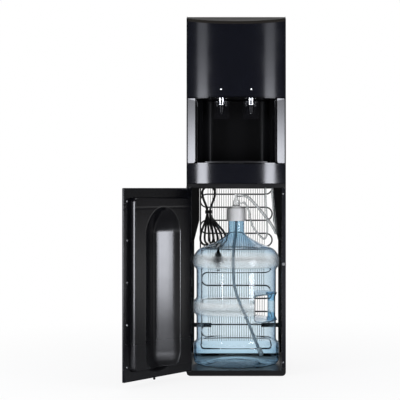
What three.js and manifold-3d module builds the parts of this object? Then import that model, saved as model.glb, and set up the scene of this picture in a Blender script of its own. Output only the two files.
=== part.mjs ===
// Bottom-load water cooler. Millimetres, +Z up, +Y towards the back.
// The origin is the middle of the base's underside, on the floor.
import * as THREE from 'three';
import { mergeVertices } from 'three/addons/utils/BufferGeometryUtils.js';
import Module from 'manifold-3d';

const wasm = await Module();
wasm.setup();

// ---------------------------------------------------------------- driving dimensions
// Cabinet
const WIDTH = 300;
const DEPTH = 330;
const HEIGHT = 1090;
const BASE_HEIGHT = 24;
const SHEET = 1.5;            // folded steel sheet
const WALL = 2.5;             // moulded panels
const SEAT = 0.3;             // gap between pieces that touch
const HEM = 3;                // folded front edge of a side panel
const JAMB = 12;              // flange that frames the bottle bay
const CORNER = 6;             // rounding of the side panels' top corners
const RIDGE_BACK = 29;        // the top slopes down from this far behind the front
const TOP_SLOPE = 0.324;
const BOW = 45;               // the front stands this far ahead of the side panels
const BOW_EDGE = 2;           // and this far at its two edges
const BOW_STEPS = 14;         // facets across the bow
// Heights of the front's pieces
const DOOR_BOTTOM = 18;
const DOOR_TOP = 568;
const SHELF_TOP = 581;
const LOWER_PANEL_BOTTOM = 582;
const NICHE_FLOOR = 640.5;
const NICHE_CEILING = 840.5;
// Bottle bay
const PLATFORM = 16.7;        // height of the bottle platform
const PLATFORM_MARGIN = 13;
const BOTTLE_BACK = 150;      // bottle axis behind the front plane

// ---------------------------------------------------------------- places worked out from them
const FRONT = -DEPTH / 2;
const BACK = DEPTH / 2;
const HALF = WIDTH / 2;
const PANEL_HALF = HALF - HEM - SEAT;
const BOW_SAG = BOW - BOW_EDGE;
const BOW_RADIUS = (PANEL_HALF ** 2 + BOW_SAG ** 2) / (2 * BOW_SAG);
const BOW_CENTRE = FRONT - BOW + BOW_RADIUS;
const BOTTLE_Y = FRONT + BOTTLE_BACK;

// ---------------------------------------------------------------- making solids
const SNAP = 0.001;           // corners are set to this grid, so that flush faces stay flush

function toManifold(geometry) {
  const bare = new THREE.BufferGeometry();
  const given = geometry.getAttribute('position').array;
  const places = Float32Array.from(given, (v) => Math.round(v / SNAP) * SNAP);
  bare.setAttribute('position', new THREE.BufferAttribute(places, 3));
  if (geometry.index) bare.setIndex(geometry.index);
  const merged = mergeVertices(bare, SNAP / 2);
  return new wasm.Manifold(new wasm.Mesh({
    numProp: 3,
    vertProperties: new Float32Array(merged.getAttribute('position').array),
    triVerts: new Uint32Array(merged.index.array),
  }));
}

function fromManifold(body) {
  const mesh = body.asOriginal().simplify(SNAP).getMesh();
  const geometry = new THREE.BufferGeometry();
  geometry.setAttribute('position', new THREE.BufferAttribute(mesh.vertProperties, 3));
  geometry.setIndex(new THREE.BufferAttribute(mesh.triVerts, 1));
  return geometry;
}

function join(...pieces) {
  return fromManifold(pieces.map(toManifold).reduce((whole, piece) => whole.add(piece)));
}

function cut(piece, ...tools) {
  return fromManifold(tools.map(toManifold).reduce((rest, tool) => rest.subtract(tool), toManifold(piece)));
}

function common(piece, other) {
  return fromManifold(toManifold(piece).intersect(toManifold(other)));
}

// A box between two corners.
function block(x0, x1, y0, y1, z0, z1) {
  const geometry = new THREE.BoxGeometry(x1 - x0, y1 - y0, z1 - z0);
  return geometry.translate((x0 + x1) / 2, (y0 + y1) / 2, (z0 + z1) / 2);
}

// An outline in X and Y, raised from z0 to z1.
function raise(outline, z0, z1, curveSegments = 12) {
  const settings = { depth: z1 - z0, bevelEnabled: false, curveSegments };
  return new THREE.ExtrudeGeometry(outline, settings).translate(0, 0, z0);
}

// An outline in Y and Z, carried along X from x0 to x1.
function alongX(outline, x0, x1, curveSegments = 8) {
  const geometry = raise(outline, x0, x1, curveSegments);
  return geometry.rotateY(Math.PI / 2).rotateX(Math.PI / 2);
}

// An outline in X and Z, carried along Y from y0 to y1.
function alongY(outline, y0, y1, curveSegments = 8) {
  return raise(outline, -y1, -y0, curveSegments).rotateX(Math.PI / 2);
}

function polygon(points) {
  return new THREE.Shape(points.map(([a, b]) => new THREE.Vector2(a, b)));
}

// A rectangle with its four corners rounded.
function roundedRectangle(x0, x1, y0, y1, radius) {
  const shape = new THREE.Shape();
  shape.absarc(x1 - radius, y0 + radius, radius, -Math.PI / 2, 0);
  shape.absarc(x1 - radius, y1 - radius, radius, 0, Math.PI / 2);
  shape.absarc(x0 + radius, y1 - radius, radius, Math.PI / 2, Math.PI);
  shape.absarc(x0 + radius, y0 + radius, radius, Math.PI, 1.5 * Math.PI);
  return shape;
}

// A round bar between two points.
function bar(radius, from, to, sides = 16) {
  const start = new THREE.Vector3(...from);
  const run = new THREE.Vector3(...to).sub(start);
  const geometry = new THREE.CylinderGeometry(radius, radius, run.length(), sides);
  geometry.translate(0, run.length() / 2, 0);
  const turn = new THREE.Quaternion().setFromUnitVectors(new THREE.Vector3(0, 1, 0), run.normalize());
  return geometry.applyQuaternion(turn).translate(start.x, start.y, start.z);
}

// A profile of [radius, height] turned about a vertical axis through (x, y).
function turned(profile, x, y, sides = 24) {
  const points = profile.map(([radius, height]) => new THREE.Vector2(radius, height));
  return new THREE.LatheGeometry(points, sides).rotateX(Math.PI / 2).translate(x, y, 0);
}

// A route given point by point: a tube's rings stand exactly at these points.
class Route extends THREE.Curve {
  constructor(points) {
    super();
    this.points = points;
  }

  getPoint(t, target = new THREE.Vector3()) {
    const place = Math.min(Math.max(t, 0), 1) * (this.points.length - 1);
    const first = Math.min(Math.floor(place), this.points.length - 2);
    return target.lerpVectors(this.points[first], this.points[first + 1], place - first);
  }

  getUtoTmapping(u) {
    return u;
  }
}

// A tube along a list of points, each carrying one ring.
function pipe(points, radius, sides = 8) {
  const section = new THREE.Shape();
  for (let i = 0; i < sides; i += 1) {
    const angle = (2 * Math.PI * (i + 0.5)) / sides;
    const corner = [radius * Math.cos(angle), radius * Math.sin(angle)];
    if (i === 0) section.moveTo(...corner);
    else section.lineTo(...corner);
  }
  const settings = { steps: points.length - 1, bevelEnabled: false, extrudePath: new Route(points) };
  return new THREE.ExtrudeGeometry(section, settings);
}

// A bent tube's centre line: straight runs between the points, with a round bend at each.
function bentLine(corners, bendRadius, steps = 5) {
  const points = corners.map((corner) => new THREE.Vector3(...corner));
  const line = [points[0]];
  for (let i = 1; i < points.length - 1; i += 1) {
    const back = points[i - 1].clone().sub(points[i]);
    const ahead = points[i + 1].clone().sub(points[i]);
    const half = back.angleTo(ahead) / 2;
    const reach = Math.min(bendRadius / Math.tan(half), 0.48 * back.length(), 0.48 * ahead.length());
    const radius = reach * Math.tan(half);
    const from = points[i].clone().addScaledVector(back.normalize(), reach);
    const middle = back.clone().add(ahead.normalize()).normalize();
    const centre = points[i].clone().addScaledVector(middle, radius / Math.sin(half));
    const axis = new THREE.Vector3().crossVectors(back, ahead).normalize();
    const turn = -(Math.PI - 2 * half);
    for (let k = 0; k <= steps; k += 1) {
      const arm = from.clone().sub(centre).applyAxisAngle(axis, (turn * k) / steps);
      line.push(centre.clone().add(arm));
    }
  }
  line.push(points[points.length - 1]);
  return line;
}

// A soft tube's centre line: a smooth curve through the points.
function smoothLine(points, steps) {
  const curve = new THREE.CatmullRomCurve3(points.map((point) => new THREE.Vector3(...point)));
  return curve.getSpacedPoints(steps);
}

// ---------------------------------------------------------------- materials
function finish(color, roughness, metalness = 0) {
  return { color, roughness, metalness };
}
const GLOSS_BLACK = finish(0x0d0e12, 0.12);
const SATIN_BLACK = finish(0x121214, 0.45);
const MATT_BLACK = finish(0x0c0c0d, 0.75);
const PAINTED_STEEL = finish(0x17171a, 0.5, 0.2);
const CHROME = finish(0xe4e6ea, 0.08, 1);
const STEEL = finish(0xb9bcc0, 0.32, 1);
const COPPER = finish(0xb4693f, 0.3, 1);
const BLACK_RUBBER = finish(0x0b0b0c, 0.85);
const WHITE_PLASTIC = finish(0xf1f2f3, 0.4);
const BLUE_BOTTLE = { ...finish(0x8fbfe0, 0.08), transparent: true, opacity: 0.45 };
const CLEAR_HOSE = { ...finish(0xdfe6ea, 0.25), transparent: true, opacity: 0.6 };
const WHITE_FOAM = finish(0xe9e9e4, 0.9);
const LIT_LENS = finish(0xf6f8ff, 0.2);

const cooler = new THREE.Group();
cooler.name = 'bottom_load_water_cooler';

function add(name, geometry, material, parent = cooler) {
  const mesh = new THREE.Mesh(geometry, new THREE.MeshStandardMaterial(material));
  mesh.name = name;
  parent.add(mesh);
  return mesh;
}

// ---------------------------------------------------------------- the bowed front
// Y of the front's outer surface, or of a surface that lies further in, at x.
function frontAt(x, inset = 0) {
  return BOW_CENTRE - Math.sqrt((BOW_RADIUS - inset) ** 2 - x ** 2);
}

// The outline between the bowed front, inset as asked, and a straight line at yBack.
function bowedOutline(halfWidth, inset, yBack) {
  const radius = BOW_RADIUS - inset;
  const swing = Math.asin(halfWidth / radius);
  const shape = new THREE.Shape();
  shape.moveTo(halfWidth, yBack);
  shape.lineTo(-halfWidth, yBack);
  shape.absarc(0, BOW_CENTRE, radius, -Math.PI / 2 - swing, -Math.PI / 2 + swing);
  return shape;
}

// Height of the top's upper surface at y, lowered by drop.
function topAt(y, drop = 0) {
  return HEIGHT - drop - TOP_SLOPE * Math.max(0, FRONT + RIDGE_BACK - y);
}

// Everything under the sloping top, between x0 and x1, from yFront to yBack.
function underTop(x0, x1, yFront, yBack, bottom, drop, radius = 0) {
  const ridge = FRONT + RIDGE_BACK;
  const shape = new THREE.Shape();
  shape.moveTo(yFront, bottom);
  shape.lineTo(yBack, bottom);
  if (radius > 0) shape.absarc(yBack - radius, HEIGHT - drop - radius, radius, 0, Math.PI / 2);
  else shape.lineTo(yBack, topAt(yBack, drop));
  if (yBack > ridge) shape.lineTo(ridge, HEIGHT - drop);
  if (radius > 0) {
    shape.lineTo(yFront + radius, topAt(yFront + radius, drop));
    shape.quadraticCurveTo(yFront, topAt(yFront, drop), yFront, topAt(yFront, drop) - radius);
  } else {
    shape.lineTo(yFront, topAt(yFront, drop));
  }
  return alongX(shape, x0, x1);
}

// ---------------------------------------------------------------- base pan
// A moulded tray: the bottle stands on its platform, ribs stiffen it from below.
const BASE_CORNER = 12;
const BASE_WALL = 6;
const BASE_CROSS = 30;
const POCKET_DEPTH = 13;
const APRON_GROOVES = 16;
const GROOVE_WIDTH = 3;
const GROOVE_DEPTH = 1.2;
const GROOVE_PITCH = 11;

function baseOutline() {
  const shape = new THREE.Shape();
  shape.moveTo(HALF, BASE_HEIGHT);
  shape.lineTo(-HALF, BASE_HEIGHT);
  shape.absarc(-HALF + BASE_CORNER, BASE_CORNER, BASE_CORNER, Math.PI, 1.5 * Math.PI);
  shape.absarc(HALF - BASE_CORNER, BASE_CORNER, BASE_CORNER, 1.5 * Math.PI, 2 * Math.PI);
  return shape;
}

function basePan() {
  const platformHalf = HALF - PLATFORM_MARGIN;
  const recess = raise(
    roundedRectangle(-platformHalf, platformHalf, FRONT - 20, BACK - 8, 10),
    PLATFORM, BASE_HEIGHT + 1, 3,
  );
  const pockets = [];
  for (const side of [-1, 1]) {
    for (const end of [-1, 1]) {
      const x0 = side * (BASE_CROSS / 2);
      const x1 = side * (HALF - BASE_CORNER);
      const y0 = end * (BASE_CROSS / 2);
      const y1 = end * (BACK - BASE_WALL);
      pockets.push(block(
        Math.min(x0, x1), Math.max(x0, x1), Math.min(y0, y1), Math.max(y0, y1), -1, POCKET_DEPTH,
      ));
    }
  }
  const grooves = [];
  for (let i = 0; i < APRON_GROOVES; i += 1) {
    const x = (i - (APRON_GROOVES - 1) / 2) * GROOVE_PITCH;
    grooves.push(block(
      x - GROOVE_WIDTH / 2, x + GROOVE_WIDTH / 2, FRONT - 1, FRONT + GROOVE_DEPTH, 4, PLATFORM - 2,
    ));
  }
  return cut(alongY(baseOutline(), FRONT, BACK, 4), recess, ...pockets, ...grooves);
}
add('base_pan', basePan(), SATIN_BLACK);

// ---------------------------------------------------------------- side panels
// A hook that stands off the back and closes round one of the condenser's runs, between two wires.
const CONDENSER_Y = BACK + 13;
const ROW_TOP = 633.6;
const ROW_PITCH = 43.06;
const ROWS = 14;
const RUN_HALF = 97;
const TUBE = 2.5;
const HOOK_X = 83;
const HOOK_WIDTH = 8;
const HOOK_ROW_HIGH = 0;
const HOOK_ROW_LOW = 12;

function condenserHook(side, row, root) {
  const z = ROW_TOP - row * ROW_PITCH;
  const span = (a, b) => [Math.min(side * a, side * b), Math.max(side * a, side * b)];
  const strap = block(...span(HOOK_X, HALF - 4), root, BACK + 2, z - 7, z + 7);
  const arm = block(...span(HOOK_X, HOOK_X + HOOK_WIDTH), BACK + 0.5, CONDENSER_Y + TUBE + 2, z - 5, z + 5);
  const bore = bar(TUBE + SEAT, [-HALF, CONDENSER_Y, z], [HALF, CONDENSER_Y, z], 10);
  return cut(join(strap, arm), bore);
}

// Folded sheet: a hem down the front, a jamb beside the bay and a flange down the back.
const SIDE_BOTTOM = BASE_HEIGHT + SEAT;
const JAMB_TOP = SHELF_TOP - 14;

function sidePanel(side) {
  const span = (a, b) => [Math.min(side * a, side * b), Math.max(side * a, side * b)];
  const skin = underTop(...span(HALF - SHEET, HALF), FRONT, BACK, SIDE_BOTTOM, 0, CORNER);
  const hem = underTop(...span(HALF - HEM, HALF - SHEET / 2), FRONT, FRONT + HEM, SIDE_BOTTOM, 8);
  const jamb = block(...span(HALF - JAMB, HALF - SHEET / 2), FRONT, FRONT + SHEET, SIDE_BOTTOM, JAMB_TOP);
  const flange = block(...span(HALF - JAMB, HALF - SHEET / 2), BACK - SHEET, BACK, SIDE_BOTTOM, HEIGHT - 20);
  return join(skin, hem, jamb, flange, condenserHook(side, HOOK_ROW_LOW, BACK - SHEET));
}
add('side_panel_left', sidePanel(-1), GLOSS_BLACK);
add('side_panel_right', sidePanel(1), GLOSS_BLACK);

// ---------------------------------------------------------------- top cap
// A moulded lid between the side panels, with a raised rim along its bowed front edge.
const CAP_DROP = 1.5;         // the lid lies this far below the side panels' edges
const CAP_THICK = 3;
const CAP_EDGE = 7;           // thicker where it closes the upper front panel
const CAP_SKIRT = 16;
const RIM = 2;
const CAP_HALF = HALF - SHEET - SEAT;
const CAP_BACK = BACK - SHEET - SEAT;

// A layer that follows the top, from one depth below it to another.
function topLayer(x, yFront, yBack, from, to) {
  const upper = underTop(-x, x, yFront, yBack, HEIGHT - 80, from);
  return cut(upper, underTop(-x - 1, x + 1, yFront - 1, yBack + 1, HEIGHT - 90, to));
}

function topCap() {
  const front = FRONT - BOW - 1;
  const start = FRONT + HEM + SEAT;
  const bowed = raise(bowedOutline(PANEL_HALF, 0, start + 1), HEIGHT - 100, HEIGHT + 5, BOW_STEPS);
  const inside = raise(bowedOutline(PANEL_HALF, RIM, start + 2), HEIGHT - 110, HEIGHT + 6, BOW_STEPS);
  const skirt = cut(
    topLayer(CAP_HALF, start, CAP_BACK, CAP_DROP, CAP_DROP + CAP_SKIRT),
    underTop(
      -CAP_HALF + WALL, CAP_HALF - WALL, start + WALL, CAP_BACK - WALL, HEIGHT - 99, CAP_DROP + CAP_THICK,
    ),
    underTop(-HALF, HALF, FRONT - BOW, FRONT + RIDGE_BACK, HEIGHT - 99, CAP_DROP + CAP_EDGE),
  );
  const edge = common(topLayer(PANEL_HALF, front, start + 1, CAP_DROP, CAP_DROP + CAP_EDGE), bowed);
  const rim = cut(common(topLayer(PANEL_HALF, front, FRONT, 0, CAP_DROP + 2), bowed), inside);
  return join(skirt, edge, rim);
}
add('top_cap', topCap(), SATIN_BLACK);

// ---------------------------------------------------------------- front panels
// A bowed moulding, open at the back, whose ends reach back between the hems.
const PANEL_RETURN = FRONT + HEM;

function bowedPanel(bottom, top, floor) {
  const outer = raise(bowedOutline(PANEL_HALF, 0, PANEL_RETURN), bottom, top, BOW_STEPS);
  const inner = raise(
    bowedOutline(PANEL_HALF - WALL, WALL, PANEL_RETURN + 1), floor, top + 1, BOW_STEPS,
  );
  return cut(outer, inner);
}

// Indicator windows
const TAP_X = 45;
const LENS_Z = 863;
const LENS_RADIUS = 2.5;

function upperFrontPanel() {
  const panel = bowedPanel(NICHE_CEILING, HEIGHT + 5, NICHE_CEILING - 1);
  const above = topLayer(HALF, FRONT - BOW - 5, BACK, -60, CAP_DROP + CAP_EDGE + SEAT);
  const windows = [-TAP_X, TAP_X].map((x) => (
    bar(LENS_RADIUS + SEAT, [x, FRONT - BOW - 5, LENS_Z], [x, FRONT - 20, LENS_Z], 16)
  ));
  return cut(panel, above, ...windows);
}
add('upper_front_panel', upperFrontPanel(), GLOSS_BLACK);
const LOWER_PANEL = bowedPanel(LOWER_PANEL_BOTTOM, NICHE_FLOOR, LOWER_PANEL_BOTTOM + WALL);
add('lower_front_panel', LOWER_PANEL, GLOSS_BLACK);

// ---------------------------------------------------------------- bay shelf
// Folded sheet that roofs the bottle bay and carries the machinery; its front lip is the header.
const SHELF_SHEET = 2;
const HEADER_DROP = 12;
const SHELF_HALF = HALF - SHEET - SEAT;
const INSIDE_BACK = BACK - 2 * (SHEET + SEAT);
const HOSE_UP = [HALF - 32, FRONT + 270];      // where each hose and the mains lead pass through it
const VENT_UP = [HALF - 54, FRONT + 300];
const GLAND_UP = [-69, FRONT + 280];
const SHELF_HOLES = [[HOSE_UP, 6], [VENT_UP, 5], [GLAND_UP, 8]];

function bayShelf() {
  const plate = block(-SHELF_HALF, SHELF_HALF, FRONT + HEM + SEAT, INSIDE_BACK,
    SHELF_TOP - SHELF_SHEET, SHELF_TOP);
  const lip = block(-HALF + HEM + SEAT, HALF - HEM - SEAT, FRONT + 0.5, FRONT + HEM + SEAT + 1.5,
    SHELF_TOP - HEADER_DROP, SHELF_TOP);
  const rear = block(-SHELF_HALF, SHELF_HALF, INSIDE_BACK - SHELF_SHEET, INSIDE_BACK,
    SHELF_TOP - 14, SHELF_TOP - 1);
  const holes = SHELF_HOLES.map(([[x, y], radius]) => (
    bar(radius + SEAT, [x, y, SHELF_TOP - 5], [x, y, SHELF_TOP + 5], 14)
  ));
  return cut(join(plate, lip, rear), ...holes);
}
add('bay_shelf', bayShelf(), PAINTED_STEEL);

// ---------------------------------------------------------------- dispensing niche
// One moulding: flared pillars, side walls, rounded back, a floor and a ceiling.
const NICHE_DEPTH = 118;
const PILLAR_IN = 118;        // where the flared pillars end, and their depth
const PILLAR_BACK = 11;
const NICHE_SIDE = 104;
const NICHE_BEND = 34;
const NICHE_BACK_HALF = 84;
const NICHE_BOTTOM = NICHE_FLOOR + SEAT;
const NICHE_TOP = NICHE_CEILING - SEAT;
const TAP_Y = FRONT + 22;
const PADDLE_Y = FRONT + 44;
const PADDLE_WIDTH = 48;
const STEM_WIDTH = 20;
const TAP_RADIUS = 10;

// Half of the wall's plan, from the front edge to the middle of the back, pushed out by grow.
function nicheHalf(grow) {
  return [
    [PANEL_HALF - 0.2, FRONT - 1 + grow * 1.2],
    [PILLAR_IN + grow * 0.4, FRONT + PILLAR_BACK + grow],
    [NICHE_SIDE + 2 + grow, FRONT + NICHE_BEND],
    [NICHE_SIDE - 4 + grow, FRONT + NICHE_DEPTH - 24],
    [NICHE_SIDE - 10 + grow * 0.8, FRONT + NICHE_DEPTH - 8 + grow * 0.6],
    [NICHE_BACK_HALF, FRONT + NICHE_DEPTH + grow],
  ];
}

function nicheWall() {
  const inner = nicheHalf(0);
  const outer = nicheHalf(WALL);
  const mirror = (points) => points.map(([x, y]) => [-x, y]);
  return polygon([...outer, ...mirror(outer).reverse(), ...mirror(inner), ...inner.slice().reverse()]);
}

// The drip tray's sizes are needed first by the hole in the floor.
const TRAY_HALF = 95;
const TRAY_BACK = 70;
const TRAY_RIM = 648;
const TRAY_INSET = 3;
const TRAY_WALL = 2;
const BASIN_INSET = 4;
const BASIN_BOTTOM = 612;
const BASIN_PLAY = 0.8;
const TRAY_STEPS = 8;         // facets across its bow
const GRILLE_THICK = 2.5;
const GRILLE_BARS = 17;
const BAR_GAP = 5;

function trayOutline(inset) {
  return bowedOutline(TRAY_HALF - inset, TRAY_INSET + inset, FRONT + TRAY_BACK - inset);
}

function nicheFloor() {
  const swing = Math.asin(PANEL_HALF / BOW_RADIUS);
  const shape = new THREE.Shape();
  const sides = nicheHalf(WALL);
  shape.absarc(0, BOW_CENTRE, BOW_RADIUS, -Math.PI / 2 - swing, -Math.PI / 2 + swing);
  sides.forEach(([x, y]) => shape.lineTo(x, y));
  sides.slice().reverse().forEach(([x, y]) => shape.lineTo(-x, y));
  return shape;
}

function dispenserNiche() {
  const floor = raise(nicheFloor(), NICHE_BOTTOM, NICHE_BOTTOM + WALL, BOW_STEPS);
  const ceiling = common(
    raise(nicheFloor(), NICHE_TOP - WALL, NICHE_TOP, BOW_STEPS),
    block(-HALF, HALF, FRONT - BOW, BACK, NICHE_TOP - 10, NICHE_TOP + 10),
  );
  const wall = raise(nicheWall(), NICHE_BOTTOM, NICHE_TOP);
  const holes = [-TAP_X, TAP_X].flatMap((x) => [
    bar(TAP_RADIUS + SEAT, [x, TAP_Y, NICHE_TOP - 10], [x, TAP_Y, NICHE_TOP + 10], 16),
    block(x - STEM_WIDTH / 2 - 2, x + STEM_WIDTH / 2 + 2, PADDLE_Y - 5, PADDLE_Y + 8,
      NICHE_TOP - 10, NICHE_TOP + 10),
  ]);
  const basinHole = trayOutline(BASIN_INSET - BASIN_PLAY);
  holes.push(raise(basinHole, NICHE_BOTTOM - 1, NICHE_BOTTOM + WALL + 1, TRAY_STEPS));
  return cut(join(floor, ceiling, wall), ...holes);
}
add('dispenser_niche', dispenserNiche(), SATIN_BLACK);

// ---------------------------------------------------------------- taps and paddles
// A valve block above the ceiling, a chrome barrel through it, and a black nozzle below.
const BARREL_BOTTOM = NICHE_CEILING - 22;
const NOZZLE_BOTTOM = NICHE_CEILING - 47;
const VALVE_HEIGHT = 34;
const PIN_Z = NICHE_CEILING + 8;
const PIN_RADIUS = 3;
const PIN_PLAY = 0.3;
const PADDLE_HEIGHT = 62;
const PADDLE_THICK = 3;
const EAR = 4;

function valveBlock(x) {
  const bottom = NICHE_CEILING + SEAT;
  const outline = roundedRectangle(x - 15, x + 15, TAP_Y - 15, TAP_Y + 14, 5);
  const body = raise(outline, bottom, bottom + VALVE_HEIGHT, 3);
  const ears = [-1, 1].map((side) => {
    const near = x + side * (STEM_WIDTH / 2 + SEAT * 2);
    const far = near + side * EAR;
    return block(Math.min(near, far), Math.max(near, far), TAP_Y + 8, PADDLE_Y + 6, bottom, PIN_Z + 8);
  });
  const bore = bar(PIN_RADIUS + PIN_PLAY, [x - 30, PADDLE_Y, PIN_Z], [x + 30, PADDLE_Y, PIN_Z], 12);
  const inlet = bar(4, [x, TAP_Y, bottom + VALVE_HEIGHT - 1], [x, TAP_Y, bottom + VALVE_HEIGHT + 12], 8);
  return cut(join(body, ...ears, inlet), bore);
}

function tapBarrel(x) {
  const top = NICHE_CEILING;
  return turned([
    [3, BARREL_BOTTOM], [TAP_RADIUS - 1, BARREL_BOTTOM], [TAP_RADIUS, BARREL_BOTTOM + 1.5],
    [TAP_RADIUS, top], [3, top], [3, BARREL_BOTTOM],
  ], x, TAP_Y, 16);
}

function tapNozzle(x) {
  const top = BARREL_BOTTOM - SEAT;
  return turned([
    [2.6, NOZZLE_BOTTOM], [5.2, NOZZLE_BOTTOM], [6, NOZZLE_BOTTOM + 2], [6.4, NOZZLE_BOTTOM + 12],
    [8.8, top - 6], [8.8, top], [2.6, top], [2.6, NOZZLE_BOTTOM],
  ], x, TAP_Y, 12);
}

// The paddle's plate is hollowed a little to take the rim of a cup.
function pushPaddle(x) {
  const bottom = NICHE_CEILING - PADDLE_HEIGHT;
  const outline = roundedRectangle(x - PADDLE_WIDTH / 2, x + PADDLE_WIDTH / 2, bottom, NICHE_CEILING - 6, 9);
  const plate = alongY(outline, PADDLE_Y - PADDLE_THICK, PADDLE_Y + PADDLE_THICK, 4);
  const hollow = bar(90, [x, PADDLE_Y - 91, bottom - 5], [x, PADDLE_Y - 91, NICHE_CEILING], 36);
  const stem = block(
    x - STEM_WIDTH / 2, x + STEM_WIDTH / 2, PADDLE_Y, PADDLE_Y + PADDLE_THICK, bottom + 30, PIN_Z,
  );
  const knuckle = bar(5, [x - STEM_WIDTH / 2, PADDLE_Y, PIN_Z], [x + STEM_WIDTH / 2, PADDLE_Y, PIN_Z], 12);
  const pin = bar(PIN_RADIUS, [x - STEM_WIDTH / 2 - EAR, PADDLE_Y, PIN_Z],
    [x + STEM_WIDTH / 2 + EAR, PADDLE_Y, PIN_Z], 12);
  return join(cut(plate, hollow), stem, knuckle, pin);
}

for (const [side, x] of [['hot', -TAP_X], ['cold', TAP_X]]) {
  add(`tap_valve_${side}`, valveBlock(x), MATT_BLACK);
  add(`tap_barrel_${side}`, tapBarrel(x), CHROME);
  add(`tap_nozzle_${side}`, tapNozzle(x), SATIN_BLACK);
  add(`push_paddle_${side}`, pushPaddle(x), SATIN_BLACK);
}

// ---------------------------------------------------------------- indicator lamps
// Domed windows in the upper panel, on a board that spans them.
const LENS_LENGTH = 9;
const lensFront = frontAt(TAP_X) - 0.6;

function indicatorLens(x) {
  const profile = [
    [0, 0], [1.6, 0.3], [LENS_RADIUS, 1.2], [LENS_RADIUS, LENS_LENGTH - 1.5],
    [LENS_RADIUS + 1.2, LENS_LENGTH - 1.5], [LENS_RADIUS + 1.2, LENS_LENGTH], [0, LENS_LENGTH],
  ];
  return turned(profile, 0, 0, 12).rotateX(-Math.PI / 2).translate(x, lensFront, LENS_Z);
}
add('indicator_lens_hot', indicatorLens(-TAP_X), LIT_LENS);
add('indicator_lens_cold', indicatorLens(TAP_X), LIT_LENS);

function indicatorBoard() {
  const front = lensFront + LENS_LENGTH + SEAT;
  const board = block(-TAP_X - 12, TAP_X + 12, front, front + 1.6, LENS_Z - 9, LENS_Z + 9);
  const arms = [-1, 1].map((side) => {
    const x = side * (TAP_X + 9);
    return block(x - 2, x + 2, frontAt(x, WALL) + SEAT + 0.8, front + 1, LENS_Z + 3, LENS_Z + 8);
  });
  return join(board, ...arms);
}
add('indicator_board', indicatorBoard(), finish(0x14532d, 0.6));

// ---------------------------------------------------------------- drip tray
// A lift-out tray whose basin hangs through the niche's floor, with a slotted grille laid in it.
function dripTray() {
  const rim = raise(trayOutline(0), NICHE_BOTTOM + WALL + SEAT, TRAY_RIM, TRAY_STEPS);
  const basin = raise(trayOutline(BASIN_INSET), BASIN_BOTTOM, TRAY_RIM - 1, TRAY_STEPS);
  return cut(
    join(rim, basin),
    raise(trayOutline(BASIN_INSET + TRAY_WALL), BASIN_BOTTOM + TRAY_WALL, TRAY_RIM + 1, TRAY_STEPS),
    raise(trayOutline(TRAY_WALL), TRAY_RIM - GRILLE_THICK, TRAY_RIM + 1, TRAY_STEPS),
  );
}

function dripGrille() {
  const bottom = TRAY_RIM - GRILLE_THICK + SEAT;
  const plate = raise(trayOutline(TRAY_WALL + SEAT), bottom, TRAY_RIM, TRAY_STEPS);
  const slots = [];
  for (let i = 0; i < GRILLE_BARS; i += 1) {
    const x = ((i - (GRILLE_BARS - 1) / 2) * 2 * (TRAY_HALF - 10)) / GRILLE_BARS;
    slots.push(block(x - BAR_GAP / 2, x + BAR_GAP / 2, frontAt(x, TRAY_INSET) + 12,
      FRONT + TRAY_BACK - 12, bottom - 1, TRAY_RIM + 1));
  }
  return cut(plate, ...slots);
}
add('drip_tray', dripTray(), SATIN_BLACK);
add('drip_grille', dripGrille(), STEEL);

// ---------------------------------------------------------------- door
// Measured in the closed place, then turned about its pins to stand open.
const DOOR_OPEN = 128;        // degrees
const PIN_X = -HALF + 6.5;
const DOOR_PIN_Y = FRONT - 9;
const DOOR_PIN = 3;
const DOOR_HALF = HALF - 1;
const DOOR_RIM = FRONT - 1.5;
const DOOR_EDGE = 7;
const DOOR_ROUND = 4;         // lets the hinge side turn past the cabinet's edge
const LINER_RISE = 18;
const LINER_MARGIN = 27;
const TROUGH_HALF = 75;
const TROUGH_DEPTH = 38;
const TROUGH_RADIUS = (TROUGH_HALF ** 2 + TROUGH_DEPTH ** 2) / (2 * TROUGH_DEPTH);
const TROUGH_LOW = 40;
const TROUGH_HIGH = 507;
const DOOR_SKIN = 2.5;

const door = new THREE.Group();
door.position.set(PIN_X, DOOR_PIN_Y, 0);
door.rotation.z = THREE.MathUtils.degToRad(-DOOR_OPEN);
cooler.add(door);
const inDoor = (geometry) => geometry.translate(-PIN_X, -DOOR_PIN_Y, 0);

// The door's own bow ends at a short straight edge.
const DOOR_SAG = BOW - DOOR_EDGE;
const DOOR_RADIUS = (DOOR_HALF ** 2 + DOOR_SAG ** 2) / (2 * DOOR_SAG);

function doorOutline(inset, yBack, round = 0) {
  const radius = DOOR_RADIUS - inset;
  const centre = FRONT - BOW + DOOR_RADIUS;
  const swing = Math.asin((DOOR_HALF - inset) / radius);
  const shape = new THREE.Shape();
  const half = DOOR_HALF - inset;
  const corner = [0, 1, 2, 3].map((k) => [
    half - round + round * Math.cos((k * Math.PI) / 6), yBack - round + round * Math.sin((k * Math.PI) / 6),
  ]);
  shape.moveTo(...corner[0]);
  corner.slice(1).forEach(([x, y]) => shape.lineTo(x, y));
  corner.slice().reverse().forEach(([x, y]) => shape.lineTo(-x, y));
  shape.absarc(0, centre, radius, -Math.PI / 2 - swing, -Math.PI / 2 + swing);
  return shape;
}

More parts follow.
